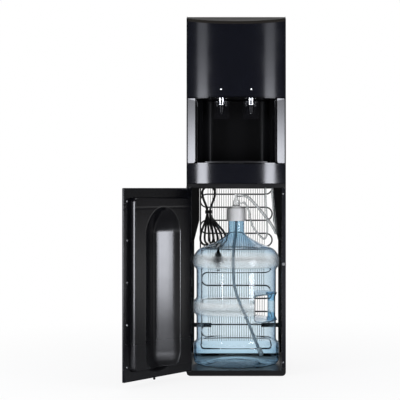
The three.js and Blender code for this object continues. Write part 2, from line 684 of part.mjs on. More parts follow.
function doorSkin() {
  const shell = cut(
    raise(doorOutline(0, DOOR_RIM, DOOR_ROUND), DOOR_BOTTOM, DOOR_TOP, BOW_STEPS),
    raise(doorOutline(DOOR_SKIN, DOOR_RIM + 1), DOOR_BOTTOM + DOOR_SKIN, DOOR_TOP - DOOR_SKIN, BOW_STEPS),
  );
  const boss = (z0, z1) => bar(5, [PIN_X, DOOR_PIN_Y, z0], [PIN_X, DOOR_PIN_Y, z1], 16);
  const room = raise(doorOutline(0.5, DOOR_RIM - 3.2), DOOR_BOTTOM, DOOR_TOP, BOW_STEPS);
  const bosses = common(
    join(boss(DOOR_BOTTOM + 1, DOOR_BOTTOM + 16), boss(DOOR_TOP - 16, DOOR_TOP - 1)), room,
  );
  const bore = (z0, z1) => bar(DOOR_PIN + PIN_PLAY, [PIN_X, DOOR_PIN_Y, z0], [PIN_X, DOOR_PIN_Y, z1], 16);
  const bores = [bore(DOOR_BOTTOM - 1, DOOR_BOTTOM + 13), bore(DOOR_TOP - 13, DOOR_TOP + 1)];
  return cut(join(shell, bosses), ...bores);
}

// The trough follows the bottle: round in plan, with a sloping arch at its top.
function trough(grow) {
  const radius = TROUGH_RADIUS + grow;
  const axis = FRONT + LINER_RISE + TROUGH_RADIUS - TROUGH_DEPTH;
  const profile = [
    [0, TROUGH_LOW - 24 - grow], [radius * 0.45, TROUGH_LOW - 12 - grow],
    [radius * 0.75, TROUGH_LOW + 4 - grow],
    [radius * 0.94, TROUGH_LOW + 24 - grow], [radius, TROUGH_LOW + 46],
    [radius, TROUGH_HIGH - 70], [radius * 0.93, TROUGH_HIGH - 42 + grow],
    [radius * 0.78, TROUGH_HIGH - 16 + grow],
    [radius * 0.5, TROUGH_HIGH + 12 + grow], [0, TROUGH_HIGH + 30 + grow],
  ];
  return turned(profile, 0, axis, 32);
}

function raisedBlock(shrink, yBack) {
  const half = HALF - LINER_MARGIN - shrink;
  const low = DOOR_BOTTOM + LINER_MARGIN + shrink;
  const high = DOOR_TOP - LINER_MARGIN - shrink;
  return alongY(roundedRectangle(-half, half, low, high, 12), DOOR_RIM - DOOR_SKIN, yBack, 3);
}

function doorLiner() {
  const inner = DOOR_HALF - DOOR_SKIN - SEAT - 0.4;
  const plate = block(-inner, inner, DOOR_RIM - DOOR_SKIN, DOOR_RIM,
    DOOR_BOTTOM + DOOR_SKIN + SEAT, DOOR_TOP - DOOR_SKIN - SEAT);
  const top = FRONT + LINER_RISE;
  const inFront = block(-HALF, HALF, FRONT - BOW, top, DOOR_BOTTOM, DOOR_TOP);
  const behindPlate = block(-HALF, HALF, FRONT - BOW, DOOR_RIM - DOOR_SKIN / 2, DOOR_BOTTOM, DOOR_TOP);
  const hollow = cut(raisedBlock(DOOR_SKIN, top - DOOR_SKIN), trough(DOOR_SKIN));
  const back = block(-HALF, HALF, FRONT - BOW, DOOR_RIM - DOOR_SKIN + 0.01, 0, HEIGHT);
  const raised = cut(join(plate, raisedBlock(0, top)), hollow, cut(back, plate));
  const bowl = common(trough(DOOR_SKIN), inFront);
  const bowlBack = common(bowl, behindPlate);
  return cut(join(raised, bowlBack), trough(0));
}
add('door_skin', inDoor(doorSkin()), GLOSS_BLACK, door);
add('door_liner', inDoor(doorLiner()), GLOSS_BLACK, door);

// ---------------------------------------------------------------- door hinges
// A steel plate at each end of the door holds an upright pin in the door's bore.
const HINGE_PLATE = 2.5;
const PIN_DEPTH = 10;

function hingePlate(z0, yBack) {
  const nose = bar(8, [PIN_X, DOOR_PIN_Y, z0], [PIN_X, DOOR_PIN_Y, z0 + HINGE_PLATE], 24);
  return join(nose, block(PIN_X - 5, PIN_X + 8, DOOR_PIN_Y, yBack, z0, z0 + HINGE_PLATE));
}

function upperHinge() {
  const z0 = DOOR_TOP + 1.5;
  const lug = block(-PANEL_HALF + SEAT, PIN_X + 20, FRONT - 2, FRONT + 0.2, z0, SHELF_TOP - 1);
  const pin = bar(DOOR_PIN, [PIN_X, DOOR_PIN_Y, DOOR_TOP - PIN_DEPTH], [PIN_X, DOOR_PIN_Y, z0 + 1], 16);
  return join(hingePlate(z0, FRONT - 1), lug, pin);
}

function lowerHinge() {
  const z0 = DOOR_BOTTOM - 1.5 - HINGE_PLATE;
  const lug = block(PIN_X - 5, PIN_X + 14, FRONT - 2.3, FRONT - SEAT, 4, z0 + HINGE_PLATE);
  const pin = bar(DOOR_PIN, [PIN_X, DOOR_PIN_Y, z0 + 1], [PIN_X, DOOR_PIN_Y, DOOR_BOTTOM + PIN_DEPTH], 16);
  return join(hingePlate(z0, FRONT - 1), lug, pin);
}
add('door_hinge_upper', upperHinge(), STEEL);
add('door_hinge_lower', lowerHinge(), STEEL);

// A glide under the door's bottom edge keeps it level as it closes.
const GLIDE_X = PIN_X + 125;
const GLIDE_RADIUS = 3.5;
function doorGlide() {
  const y = frontAt(GLIDE_X) + 9;
  return turned([
    [0, 4], [GLIDE_RADIUS - 1, 4], [GLIDE_RADIUS, 5.5], [GLIDE_RADIUS, DOOR_BOTTOM - SEAT],
    [0, DOOR_BOTTOM - SEAT],
  ], GLIDE_X, y, 12);
}
add('door_glide', inDoor(doorGlide()), MATT_BLACK, door);

// A magnet in the door's liner meets a steel strike on the right jamb.
const CATCH_Z = 338;
const CATCH_X = HALF - JAMB + 5;
add('catch_strike', bar(4.5, [CATCH_X, FRONT - SEAT, CATCH_Z], [CATCH_X, FRONT - 1.1, CATCH_Z], 16), STEEL);

// ---------------------------------------------------------------- rear panel
// Sheet above the open bay; two legs with slanting ends brace the side panels.
const REAR_FACE = BACK - SHEET - SEAT;
const REAR_HALF = HALF - SHEET - SEAT;
const REAR_TOP = HEIGHT - 20;
const LEG_IN = 121;
const LEG_BEND = 462;
const LEG_BOTTOM = 396;
const LOUVRES = 10;
const LOUVRE_PITCH = 12;
const LOUVRE_BOTTOM = 915;
const SWITCH_Z = 842;
const SWITCH_X = [-112, -84];
const SWITCH_WIDTH = 15;
const SWITCH_HEIGHT = 21;

function rearPanel() {
  const outline = polygon([
    [-REAR_HALF, REAR_TOP], [-REAR_HALF, LEG_BOTTOM], [-HALF + JAMB, LEG_BOTTOM], [-LEG_IN, LEG_BEND],
    [-LEG_IN, SHELF_TOP - 15], [LEG_IN, SHELF_TOP - 15], [LEG_IN, LEG_BEND], [HALF - JAMB, LEG_BOTTOM],
    [REAR_HALF, LEG_BOTTOM], [REAR_HALF, REAR_TOP],
  ]);
  const plate = alongY(outline, REAR_FACE - SHEET, REAR_FACE);
  const slots = [];
  for (const side of [-1, 1]) {
    for (let i = 0; i < LOUVRES; i += 1) {
      const z = LOUVRE_BOTTOM + i * LOUVRE_PITCH;
      const x = side * 65;
      slots.push(block(x - 45, x + 45, REAR_FACE - 5, REAR_FACE + 1, z, z + 5));
    }
  }
  const switches = block(
    SWITCH_X[0] - SWITCH_WIDTH / 2 + 1, SWITCH_X[1] + SWITCH_WIDTH / 2 - 1, REAR_FACE - 5, REAR_FACE + 1,
    SWITCH_Z - SWITCH_HEIGHT / 2 + 1, SWITCH_Z + SWITCH_HEIGHT / 2 - 1,
  );
  const pipes = [-1, 1].map((side) => block(
    Math.min(side * 88, side * 124), Math.max(side * 88, side * 124), REAR_FACE - 5, REAR_FACE + 1, 646, 668,
  ));
  const drain = bar(8, [0, REAR_FACE - 5, 800], [0, REAR_FACE + 1, 800], 16);
  const hooks = [-1, 1].map((side) => condenserHook(side, HOOK_ROW_HIGH, REAR_FACE - SHEET));
  const room = [-1, 1].map((side) => block(
    Math.min(side * (HALF - JAMB - SEAT), side * HALF), Math.max(side * (HALF - JAMB - SEAT), side * HALF),
    REAR_FACE, CONDENSER_Y, LEG_BOTTOM, REAR_TOP + 1,
  ));
  return cut(join(plate, ...hooks), ...slots, switches, ...pipes, drain, ...room);
}
add('rear_panel', rearPanel(), PAINTED_STEEL);

// ---------------------------------------------------------------- rear switches
// A bezel clipped into the panel, and a rocker that tips about a pin across it.
const BEZEL = 2.5;

function switchHousing() {
  const inX = SWITCH_WIDTH / 2 - 1.5;
  const inZ = SWITCH_HEIGHT / 2 - 1.5;
  const [first, last] = SWITCH_X;
  const frame = block(first - inX - BEZEL, last + inX + BEZEL, REAR_FACE + SEAT, REAR_FACE + 2.3,
    SWITCH_Z - inZ - BEZEL, SWITCH_Z + inZ + BEZEL);
  const body = block(first - inX + 0.2, last + inX - 0.2, REAR_FACE - 18, REAR_FACE + 1,
    SWITCH_Z - inZ + 0.2, SWITCH_Z + inZ - 0.2);
  const rooms = SWITCH_X.map((x) => block(
    x - inX + 1.4, x + inX - 1.4, REAR_FACE - 14, REAR_FACE + 4, SWITCH_Z - inZ + 1.4, SWITCH_Z + inZ - 1.4,
  ));
  return cut(join(frame, body), ...rooms);
}
add('rear_switch_housing', switchHousing(), MATT_BLACK);

function rocker(x) {
  const half = SWITCH_WIDTH / 2 - 1.5 - 1.4 - SEAT * 1.5;
  const tall = SWITCH_HEIGHT / 2 - 1.5 - 1.4 - 1.2;
  const shape = polygon([
    [-5, -4], [4, -tall], [5.2, -tall], [2.6, 0], [5.2, tall], [4, tall], [-5, 4],
  ].map(([y, z]) => [REAR_FACE - 1 + y, SWITCH_Z + z]));
  return alongX(shape, x - half, x + half);
}
for (const [side, x] of [['hot', SWITCH_X[0]], ['cold', SWITCH_X[1]]]) {
  const colour = side === 'hot' ? 0x8c1717 : 0x1c5a2c;
  add(`rear_switch_rocker_${side}`, rocker(x), finish(colour, 0.35));
}

// ---------------------------------------------------------------- drain outlet
const DRAIN_Z = 800;
add('drain_plug', turned([
  [0, -20], [6, -20], [6, 0], [11, 0], [11, 3], [7, 3], [7, 6], [10, 6], [10, 17], [8.5, 18], [0, 18],
], 0, 0, 10).rotateX(-Math.PI / 2).translate(0, REAR_FACE + SEAT, DRAIN_Z), MATT_BLACK);

// ---------------------------------------------------------------- condenser
// One steel tube folded to and fro, with upright wires welded to its front and back.
const WIRES = 9;
const WIRE = 1.6;
const WIRE_PITCH = 23.85;
const BEND_STEPS = 5;

function condenserLine() {
  const line = [];
  const bend = ROW_PITCH / 2;
  for (let row = 0; row < ROWS; row += 1) {
    const side = row % 2 === 0 ? 1 : -1;
    const z = ROW_TOP - row * ROW_PITCH;
    line.push(new THREE.Vector3(side * RUN_HALF, CONDENSER_Y, z));
    line.push(new THREE.Vector3(-side * RUN_HALF, CONDENSER_Y, z));
    if (row === ROWS - 1) break;
    for (let k = 1; k < BEND_STEPS; k += 1) {
      const angle = (Math.PI * k) / BEND_STEPS;
      line.push(new THREE.Vector3(
        -side * (RUN_HALF + bend * Math.sin(angle)), CONDENSER_Y, z - bend + bend * Math.cos(angle),
      ));
    }
  }
  return line;
}

function condenser() {
  const wires = [];
  const bottom = ROW_TOP - (ROWS - 1) * ROW_PITCH - 11;
  for (let i = 0; i < WIRES; i += 1) {
    const x = (i - (WIRES - 1) / 2) * WIRE_PITCH;
    const y = CONDENSER_Y + (i % 2 === 0 ? -1 : 1) * (TUBE + WIRE / 2 - 0.5);
    wires.push(block(x - WIRE / 2, x + WIRE / 2, y - WIRE / 2, y + WIRE / 2, bottom, ROW_TOP + 16));
  }
  return join(pipe(condenserLine(), TUBE, 6), ...wires);
}
add('condenser', condenser(), MATT_BLACK);

// ---------------------------------------------------------------- bottle
// Blown polycarbonate: a neck, a sloping shoulder, raised bands, and a grip through its side.
const BOTTLE_RADIUS = 135;
const WAIST_RADIUS = 125;
const NECK_RADIUS = 25;
const BOTTLE_WALL = 1.6;
const BOTTLE_BASE = PLATFORM + SEAT;
const NECK_TOP = 497;
const GRIP_IN = 57;
const GRIP_BAR = 98;
const GRIP_OUT = 123;
const GRIP_LOW = 155;
const GRIP_HIGH = 239;
const GRIP_HALF_THICK = 15;
const BOTTLE_SIDES = 24;

function bottleSide(inset) {
  const r = BOTTLE_RADIUS - inset;
  const w = WAIST_RADIUS - inset;
  const n = NECK_RADIUS - inset;
  const z = BOTTLE_BASE;
  return [
    [r - 17, z + inset], [r - 6, z + 3 + inset], [r, z + 14],
    [r, z + 64], [w, z + 75], [w, z + 153], [r, z + 163], [r, z + 196], [w, z + 207],
    [w, z + 297], [r, z + 308], [r, z + 338], [r - 9, z + 353 - inset * 0.8],
    [r - 33, z + 368 - inset], [r - 64, z + 379 - inset], [r - 99, z + 399 - inset], [n, z + 411 - inset],
  ];
}

// The solid body, with the grip's pocket taken out and its upright bar left in.
function bottleBody(inset, foot, neckTop) {
  const body = turned([...foot, ...bottleSide(inset), ...neckTop], 0, BOTTLE_Y, BOTTLE_SIDES);
  const slope = 8;
  const pocket = alongY(polygon([
    [GRIP_IN - inset, GRIP_LOW + slope], [GRIP_IN + slope - inset, GRIP_LOW - inset],
    [BOTTLE_RADIUS + 5, GRIP_LOW - inset], [BOTTLE_RADIUS + 5, GRIP_HIGH + inset],
    [GRIP_IN + slope - inset, GRIP_HIGH + inset], [GRIP_IN - inset, GRIP_HIGH - slope],
  ]), BOTTLE_Y - BOTTLE_RADIUS - 5, BOTTLE_Y + BOTTLE_RADIUS + 5);
  const grip = raise(roundedRectangle(
    GRIP_BAR + inset, GRIP_OUT - inset, BOTTLE_Y - GRIP_HALF_THICK + inset,
    BOTTLE_Y + GRIP_HALF_THICK - inset, 9 - inset,
  ), GRIP_LOW - 6, GRIP_HIGH + 6, 2);
  return join(cut(body, pocket), common(grip, body));
}

function bottle() {
  const z = BOTTLE_BASE;
  const lip = NECK_RADIUS + 2.5;
  const outer = bottleBody(0, [[0, z + 15], [62, z + 12], [96, z + 3], [106, z]], [
    [NECK_RADIUS, NECK_TOP - 14], [lip, NECK_TOP - 12], [lip, NECK_TOP - 8],
    [NECK_RADIUS, NECK_TOP - 6], [NECK_RADIUS, NECK_TOP], [0, NECK_TOP],
  ]);
  const t = BOTTLE_WALL;
  const inner = bottleBody(t, [[0, z + 15 + t], [63, z + 12 + t], [97, z + 3 + t]], [
    [NECK_RADIUS - t, NECK_TOP + 2], [0, NECK_TOP + 2],
  ]);
  return cut(outer, inner);
}
add('bottle', bottle(), BLUE_BOTTLE);

// ---------------------------------------------------------------- intake probe
// A white cap over the neck holds the barbed fitting and the dip tube below it.
const CAP_LOW = 465;
const CAP_HIGH = 507;
const CAP_RADIUS = 30;
const DIP_RADIUS = 4.5;
const FITTING_RADIUS = 7;

function probeCap() {
  return turned([
    [FITTING_RADIUS + SEAT, CAP_HIGH], [FITTING_RADIUS + SEAT, NECK_TOP + SEAT],
    [NECK_RADIUS + 2.5 + SEAT, NECK_TOP + SEAT], [NECK_RADIUS + 2.5 + SEAT, CAP_LOW], [CAP_RADIUS, CAP_LOW],
    [CAP_RADIUS, CAP_HIGH - 3], [CAP_RADIUS - 3, CAP_HIGH], [FITTING_RADIUS + SEAT, CAP_HIGH],
  ], 0, BOTTLE_Y, BOTTLE_SIDES);
}
add('probe_cap', probeCap(), WHITE_PLASTIC);

const FITTING_TOP = 549;
const BARB_Z = 521;
function probeFitting() {
  const spigot = turned([
    [0, 488], [FITTING_RADIUS, 488], [FITTING_RADIUS, CAP_HIGH + SEAT], [14, CAP_HIGH + SEAT],
    [14, CAP_HIGH + 5], [10, CAP_HIGH + 7], [10, 528], [6.5, 531], [6.5, 536], [5, 538],
    [5, FITTING_TOP], [0, FITTING_TOP],
  ], 0, BOTTLE_Y, 12);
  const elbow = bar(5, [0, BOTTLE_Y, FITTING_TOP - 5], [16, BOTTLE_Y + 2, FITTING_TOP - 5], 8);
  const sideBarb = bar(3.2, [6, BOTTLE_Y, BARB_Z], [19, BOTTLE_Y + 4, BARB_Z], 8);
  const bore = bar(DIP_RADIUS + 0.3, [0, BOTTLE_Y, 480], [0, BOTTLE_Y, 497], 10);
  return cut(join(spigot, elbow, sideBarb), bore);
}
add('probe_fitting', probeFitting(), CLEAR_HOSE);

const dipLine = smoothLine([
  [0, BOTTLE_Y, 496.5], [0, BOTTLE_Y, 470], [-2, BOTTLE_Y, 420], [-9, BOTTLE_Y - 2, 360],
  [-7, BOTTLE_Y - 3, 269],
  [12, BOTTLE_Y - 3, 205], [36, BOTTLE_Y - 2, 150], [62, BOTTLE_Y, 84], [70, BOTTLE_Y, 66],
], BOW_STEPS);
add('dip_tube', pipe(dipLine, DIP_RADIUS, 6), finish(0x2c3a46, 0.4));

function intakeStrainer() {
  const cup = turned([[0, -26], [6, -26], [7.5, -22], [7.5, 0], [0, 0]], 0, 0, 14);
  return cup.rotateY(-0.36).translate(70.9, BOTTLE_Y, 65.8);
}
add('intake_strainer', intakeStrainer(), WHITE_PLASTIC);

// ---------------------------------------------------------------- hoses in the bay
// Slack loops, so that the bottle can be drawn out with the probe still in it.
const HOSE_RADIUS = 4.5;
const VENT_RADIUS = 3.2;
const waterHosePoints = [
  [16.9, BOTTLE_Y + 2.1, FITTING_TOP - 5], [25, BOTTLE_Y + 3.1, FITTING_TOP - 5], [42, BOTTLE_Y + 8, 535],
  [72, BOTTLE_Y + 16, 503], [103, BOTTLE_Y + 26, 464], [121, BOTTLE_Y + 42, 436], [127, BOTTLE_Y + 66, 424],
  [127, BOTTLE_Y + 94, 446], [122, BOTTLE_Y + 114, 500], [HOSE_UP[0], HOSE_UP[1], 548],
  [HOSE_UP[0], HOSE_UP[1], SHELF_TOP - SHELF_SHEET - 4],
];
const ventHosePoints = [
  [20.7, BOTTLE_Y + 4.5, BARB_Z], [27, BOTTLE_Y + 6.5, BARB_Z], [39, BOTTLE_Y + 18, 498],
  [50, BOTTLE_Y + 38, 452], [72, BOTTLE_Y + 70, 420], [92, BOTTLE_Y + 104, 404], [101, BOTTLE_Y + 130, 430],
  [98, BOTTLE_Y + 146, 500], [VENT_UP[0], VENT_UP[1], 548],
  [VENT_UP[0], VENT_UP[1], SHELF_TOP - SHELF_SHEET - 4],
];
add('water_hose', pipe(smoothLine(waterHosePoints, 22), HOSE_RADIUS, 7), CLEAR_HOSE);
add('vent_hose', pipe(smoothLine(ventHosePoints, 22), VENT_RADIUS, 6), CLEAR_HOSE);

// ---------------------------------------------------------------- machinery above the bay
const DECK = SHELF_TOP + SEAT;

// One bulkhead moulding carries both hoses through the shelf.
function bulkhead([[x, y], radius]) {
  return turned([
    [0, SHELF_TOP - SHELF_SHEET - 3.7], [radius, SHELF_TOP - SHELF_SHEET - 3.7],
    [radius, DECK + 4], [radius - 1, DECK + 4], [radius - 1, DECK + 14], [0, DECK + 14],
  ], x, y, 8);
}
function hoseBulkhead() {
  const [[[x0, y0]], [[x1, y1]]] = SHELF_HOLES;
  const plate = raise(roundedRectangle(x1 - 8, x0 + 9, y0 - 9, y1 + 8, 4), DECK, DECK + 3, 2);
  return join(plate, bulkhead(SHELF_HOLES[0]), bulkhead(SHELF_HOLES[1]));
}
add('hose_bulkhead', hoseBulkhead(), WHITE_PLASTIC);

const COMPRESSOR_X = -55;
const COMPRESSOR_Y = FRONT + 232;
const MOUNT_PLATE = 3;
function compressorMount() {
  const plate = raise(
    roundedRectangle(COMPRESSOR_X - 68, COMPRESSOR_X + 68, COMPRESSOR_Y - 60, COMPRESSOR_Y + 60, 12),
    DECK + 8, DECK + 8 + MOUNT_PLATE, 2,
  );
  const feet = [[-56, -48], [56, -48], [-56, 48], [56, 48]].map(([x, y]) => (
    bar(8, [COMPRESSOR_X + x, COMPRESSOR_Y + y, DECK], [COMPRESSOR_X + x, COMPRESSOR_Y + y, DECK + 16], 6)
  ));
  return join(plate, ...feet);
}
add('compressor_mount', compressorMount(), MATT_BLACK);

function compressor() {
  const z = DECK + 8 + MOUNT_PLATE + SEAT;
  const can = turned([
    [0, z], [44, z], [58, z + 10], [62, z + 26], [62, z + 66], [66, z + 67], [66, z + 73], [62, z + 74],
    [60, z + 104], [50, z + 124], [28, z + 136], [0, z + 139],
  ], 0, 0, 16).scale(1, 0.84, 1).translate(COMPRESSOR_X, COMPRESSOR_Y, 0);
  const terminals = block(
    COMPRESSOR_X + 46, COMPRESSOR_X + 76, COMPRESSOR_Y - 22, COMPRESSOR_Y + 18, z + 28, z + 62,
  );
  return join(can, terminals);
}
add('compressor', compressor(), MATT_BLACK);

const PUMP_X = 88;
const PUMP_Y = FRONT + 165;
function waterPump() {
  const outline = roundedRectangle(PUMP_X - 22, PUMP_X + 22, PUMP_Y - 20, PUMP_Y + 20, 6);
  const head = raise(outline, DECK, DECK + 42, 2);
  const motor = bar(17, [PUMP_X, PUMP_Y, DECK + 40], [PUMP_X, PUMP_Y, DECK + 104], 12);
  const ports = [-1, 1].map((side) => (
    bar(4, [PUMP_X + side * 10, PUMP_Y + 18, DECK + 24], [PUMP_X + side * 10, PUMP_Y + 32, DECK + 24], 6)
  ));
  return join(head, motor, ...ports);
}
add('water_pump', waterPump(), MATT_BLACK);

const DRIER_X = 40;
const DRIER_Y = FRONT + 296;
add('filter_drier', turned([
  [0, 640], [3, 640], [3, 648], [10, 660], [10, 728], [3, 740], [3, 748], [0, 748],
], DRIER_X, DRIER_Y, 10), COPPER);

const CONTROL_X = 96;
function controlBox() {
  const z = 740;
  const bodyBack = REAR_FACE - SHEET - SEAT;
  const bodyPlan = roundedRectangle(CONTROL_X - 38, CONTROL_X + 38, REAR_FACE - 44, bodyBack, 4);
  const lidPlan = roundedRectangle(CONTROL_X - 40, CONTROL_X + 40, REAR_FACE - 46, REAR_FACE - 40, 2);
  const body = raise(bodyPlan, z - 40, z + 90, 2);
  const lid = raise(lidPlan, z - 42, z + 92, 2);
  return join(body, lid);
}
add('control_box', controlBox(), MATT_BLACK);

// ---------------------------------------------------------------- tanks
const TANK_SHELF = HEIGHT - 200;
const TANK_FRONT = FRONT + 20;
const COLD_BLOCK = HALF * 0.46 + 1;   // half the width of the cold tank's insulation
const TANK_BACK = REAR_FACE - SHEET - SEAT;
const COLD_X = HALF - COLD_BLOCK - 10;
const COLD_Y = FRONT + 178;
const COLD_RADIUS = COLD_BLOCK - 16;
const COLD_HEIGHT = 140;
const COIL_RADIUS = COLD_BLOCK - 10;
const COIL_TUBE = 3.5;
const COIL_TURNS = 3;
const COIL_STEPS = 12;
const COIL_PITCH = 30;
const HOT_RADIUS = HALF / 3;
const HOT_X = -HALF + HOT_RADIUS + 22;
const HOT_Y = FRONT + 178;
const HOT_HEIGHT = 140;

function tankShelf() {
  const plate = block(-SHELF_HALF, SHELF_HALF, TANK_FRONT, TANK_BACK, TANK_SHELF - SHELF_SHEET, TANK_SHELF);
  const lips = [TANK_FRONT, TANK_BACK - SHELF_SHEET].map((y) => (
    block(-SHELF_HALF, SHELF_HALF, y, y + SHELF_SHEET, TANK_SHELF - 12, TANK_SHELF)
  ));
  const holes = [[-TAP_X, TANK_FRONT + 10], [TAP_X, TANK_FRONT + 10]].map(([x, y]) => (
    block(x - 10, x + 10, y - 20, y + 8, TANK_SHELF - 20, TANK_SHELF + 1)
  ));
  return cut(join(plate, ...lips), ...holes);
}
add('tank_shelf', tankShelf(), PAINTED_STEEL);

const TANK_BOTTOM = TANK_SHELF + SEAT;
function coldInsulation() {
  const outer = raise(roundedRectangle(
    COLD_X - COLD_BLOCK, COLD_X + COLD_BLOCK, COLD_Y - COLD_BLOCK, COLD_Y + COLD_BLOCK, 14,
  ),
    TANK_BOTTOM, TANK_BOTTOM + COLD_HEIGHT + 22, 3);
  const hollow = bar(COIL_RADIUS + COIL_TUBE + 1, [COLD_X, COLD_Y, TANK_BOTTOM + 10],
    [COLD_X, COLD_Y, TANK_BOTTOM + COLD_HEIGHT + 30], 20);
  return cut(outer, hollow);
}
add('cold_tank_insulation', coldInsulation(), WHITE_FOAM);
const COLD_BOTTOM = TANK_BOTTOM + 10 + SEAT;
add('cold_tank', turned([
  [0, COLD_BOTTOM], [COLD_RADIUS - 8, COLD_BOTTOM], [COLD_RADIUS, COLD_BOTTOM + 8],
  [COLD_RADIUS, COLD_BOTTOM + COLD_HEIGHT - 8], [COLD_RADIUS - 8, COLD_BOTTOM + COLD_HEIGHT],
  [0, COLD_BOTTOM + COLD_HEIGHT],
], COLD_X, COLD_Y, 16), STEEL);

function evaporatorCoil() {
  const points = [];
  const steps = COIL_TURNS * COIL_STEPS;
  for (let i = 0; i <= steps; i += 1) {
    const angle = (i / COIL_STEPS) * 2 * Math.PI;
    points.push(new THREE.Vector3(
      COLD_X + COIL_RADIUS * Math.cos(angle), COLD_Y + COIL_RADIUS * Math.sin(angle),
      COLD_BOTTOM + 20 + (i / COIL_STEPS) * COIL_PITCH,
    ));
  }
  return pipe(points, COIL_TUBE, 5);
}
add('evaporator_coil', evaporatorCoil(), COPPER);

add('hot_tank', turned([
  [0, TANK_BOTTOM], [HOT_RADIUS - 8, TANK_BOTTOM], [HOT_RADIUS, TANK_BOTTOM + 8],
  [HOT_RADIUS, TANK_BOTTOM + HOT_HEIGHT - 8], [HOT_RADIUS - 8, TANK_BOTTOM + HOT_HEIGHT],
  [0, TANK_BOTTOM + HOT_HEIGHT],
], HOT_X, HOT_Y, 16), STEEL);
function heaterBand() {
  const z = TANK_BOTTOM + 34;
  const ring = turned([
    [HOT_RADIUS + SEAT + 0.3, z], [HOT_RADIUS + 6, z], [HOT_RADIUS + 6, z + 40],
    [HOT_RADIUS + SEAT + 0.3, z + 40], [HOT_RADIUS + SEAT + 0.3, z],
  ], HOT_X, HOT_Y, 16);
  const lug = block(HOT_X - 8, HOT_X + 8, HOT_Y - HOT_RADIUS - 14, HOT_Y - HOT_RADIUS - 4, z + 4, z + 36);
  return join(ring, lug);
}
add('heater_band', heaterBand(), STEEL);

// ---------------------------------------------------------------- mains cord
// It drops through a gland in the shelf into a tied hank, and ends in a moulded plug.
const CORD = 3.5;             // radius
const HANK_X = -90;
const HANK_FRONT = GLAND_UP[1];
const HANK_BEND = 21;         // six cord radii
const HANK_TOP = 552;
const HANK_LOW = 402;
const HANK_WAIST = 490;
const WAIST_HALF = 4.6;
const HANK_PITCH = 7.8;
const HANK_LOOPS = 4;
const LOBE_FAN = 14;
const HANK_START = 540;
const HANK_STUB = 5;          // straight end that meets the lead
const HANK_TAIL = [[-80, 462], [-69, 434], [-61, 408], [-60, 390], [-60, 372]];   // down to the plug

// Half the hank's width at height z: narrow at the waist, full at the bends.
function hankHalf(z) {
  const reach = z > HANK_WAIST ? HANK_TOP - HANK_WAIST : HANK_WAIST - HANK_LOW;
  const way = Math.min(1, Math.abs(z - HANK_WAIST) / reach);
  return WAIST_HALF + (HANK_BEND - WAIST_HALF) * (0.5 - 0.5 * Math.cos(Math.PI * way));
}

// Below the waist each loop leans to its own side.
function hankLean(z, loop) {
  const way = Math.min(1, Math.max(0, (HANK_WAIST - z) / (HANK_WAIST - HANK_LOW)));
  return (-6 + LOBE_FAN * loop) * (0.5 - 0.5 * Math.cos(Math.PI * way));
}

// Down the right run while it climbs one pitch back, round the bottom, up the left run, over the top.
function hankLine() {
  const line = [];
  const point = (x, layer, z) => line.push(new THREE.Vector3(x, HANK_FRONT + layer * HANK_PITCH, z));
  const run = 7;
  const bend = 5;
  point(HANK_X + hankHalf(HANK_START), 0, HANK_START + HANK_STUB);
  for (let loop = 0; loop < HANK_LOOPS; loop += 1) {
    const top = loop === 0 ? HANK_START : HANK_TOP;
    for (let k = 0; k <= run; k += 1) {
      const z = top + ((HANK_LOW - top) * k) / run;
      point(HANK_X + hankLean(z, loop) + hankHalf(z), loop + k / run, z);
    }
    for (let k = 1; k < bend; k += 1) {
      const angle = (Math.PI * k) / bend;
      const x = HANK_X + hankLean(HANK_LOW, loop) + HANK_BEND * Math.cos(angle);
      point(x, loop + 1, HANK_LOW - HANK_BEND * Math.sin(angle));
    }
    for (let k = 0; k <= run; k += 1) {
      const z = HANK_LOW + ((HANK_TOP - HANK_LOW) * k) / run;
      point(HANK_X + hankLean(z, loop) - hankHalf(z), loop + 1, z);
    }
    for (let k = 1; k < bend; k += 1) {
      const angle = Math.PI - (Math.PI * k) / bend;
      point(HANK_X + HANK_BEND * Math.cos(angle), loop + 1, HANK_TOP + HANK_BEND * Math.sin(angle));
    }
  }
  for (let k = 0; k <= 4; k += 1) {
    const z = HANK_TOP + ((HANK_WAIST - HANK_TOP) * k) / 4;
    point(HANK_X + hankHalf(z), HANK_LOOPS + k / 4, z);
  }
  HANK_TAIL.forEach(([x, z]) => point(x, HANK_LOOPS + 1, z));
  return line;
}

// The least gap between two stretches of the cord that aren't neighbours along it.
function leastGap(line, radius) {
  const fine = [];
  const lengths = [0];
  for (let i = 0; i < line.length - 1; i += 1) {
    for (let k = 0; k < 6; k += 1) fine.push(line[i].clone().lerp(line[i + 1], k / 6));
  }
  for (let i = 1; i < fine.length; i += 1) lengths.push(lengths[i - 1] + fine[i].distanceTo(fine[i - 1]));
  let least = Infinity;
  for (let i = 0; i < fine.length; i += 1) {
    for (let k = i + 1; k < fine.length; k += 1) {
      if (lengths[k] - lengths[i] > 12 * radius) {
        least = Math.min(least, fine[i].distanceTo(fine[k]) - 2 * radius);
      }
    }
  }
  return { least, length: lengths[lengths.length - 1] };
}

const hank = hankLine();
const hankFacts = leastGap(hank, CORD);
console.log(`cord hank: ${hankFacts.length.toFixed(0)} mm, least gap ${hankFacts.least.toFixed(2)} mm`);
add('cord_hank', pipe(hank, CORD, 6), BLACK_RUBBER);

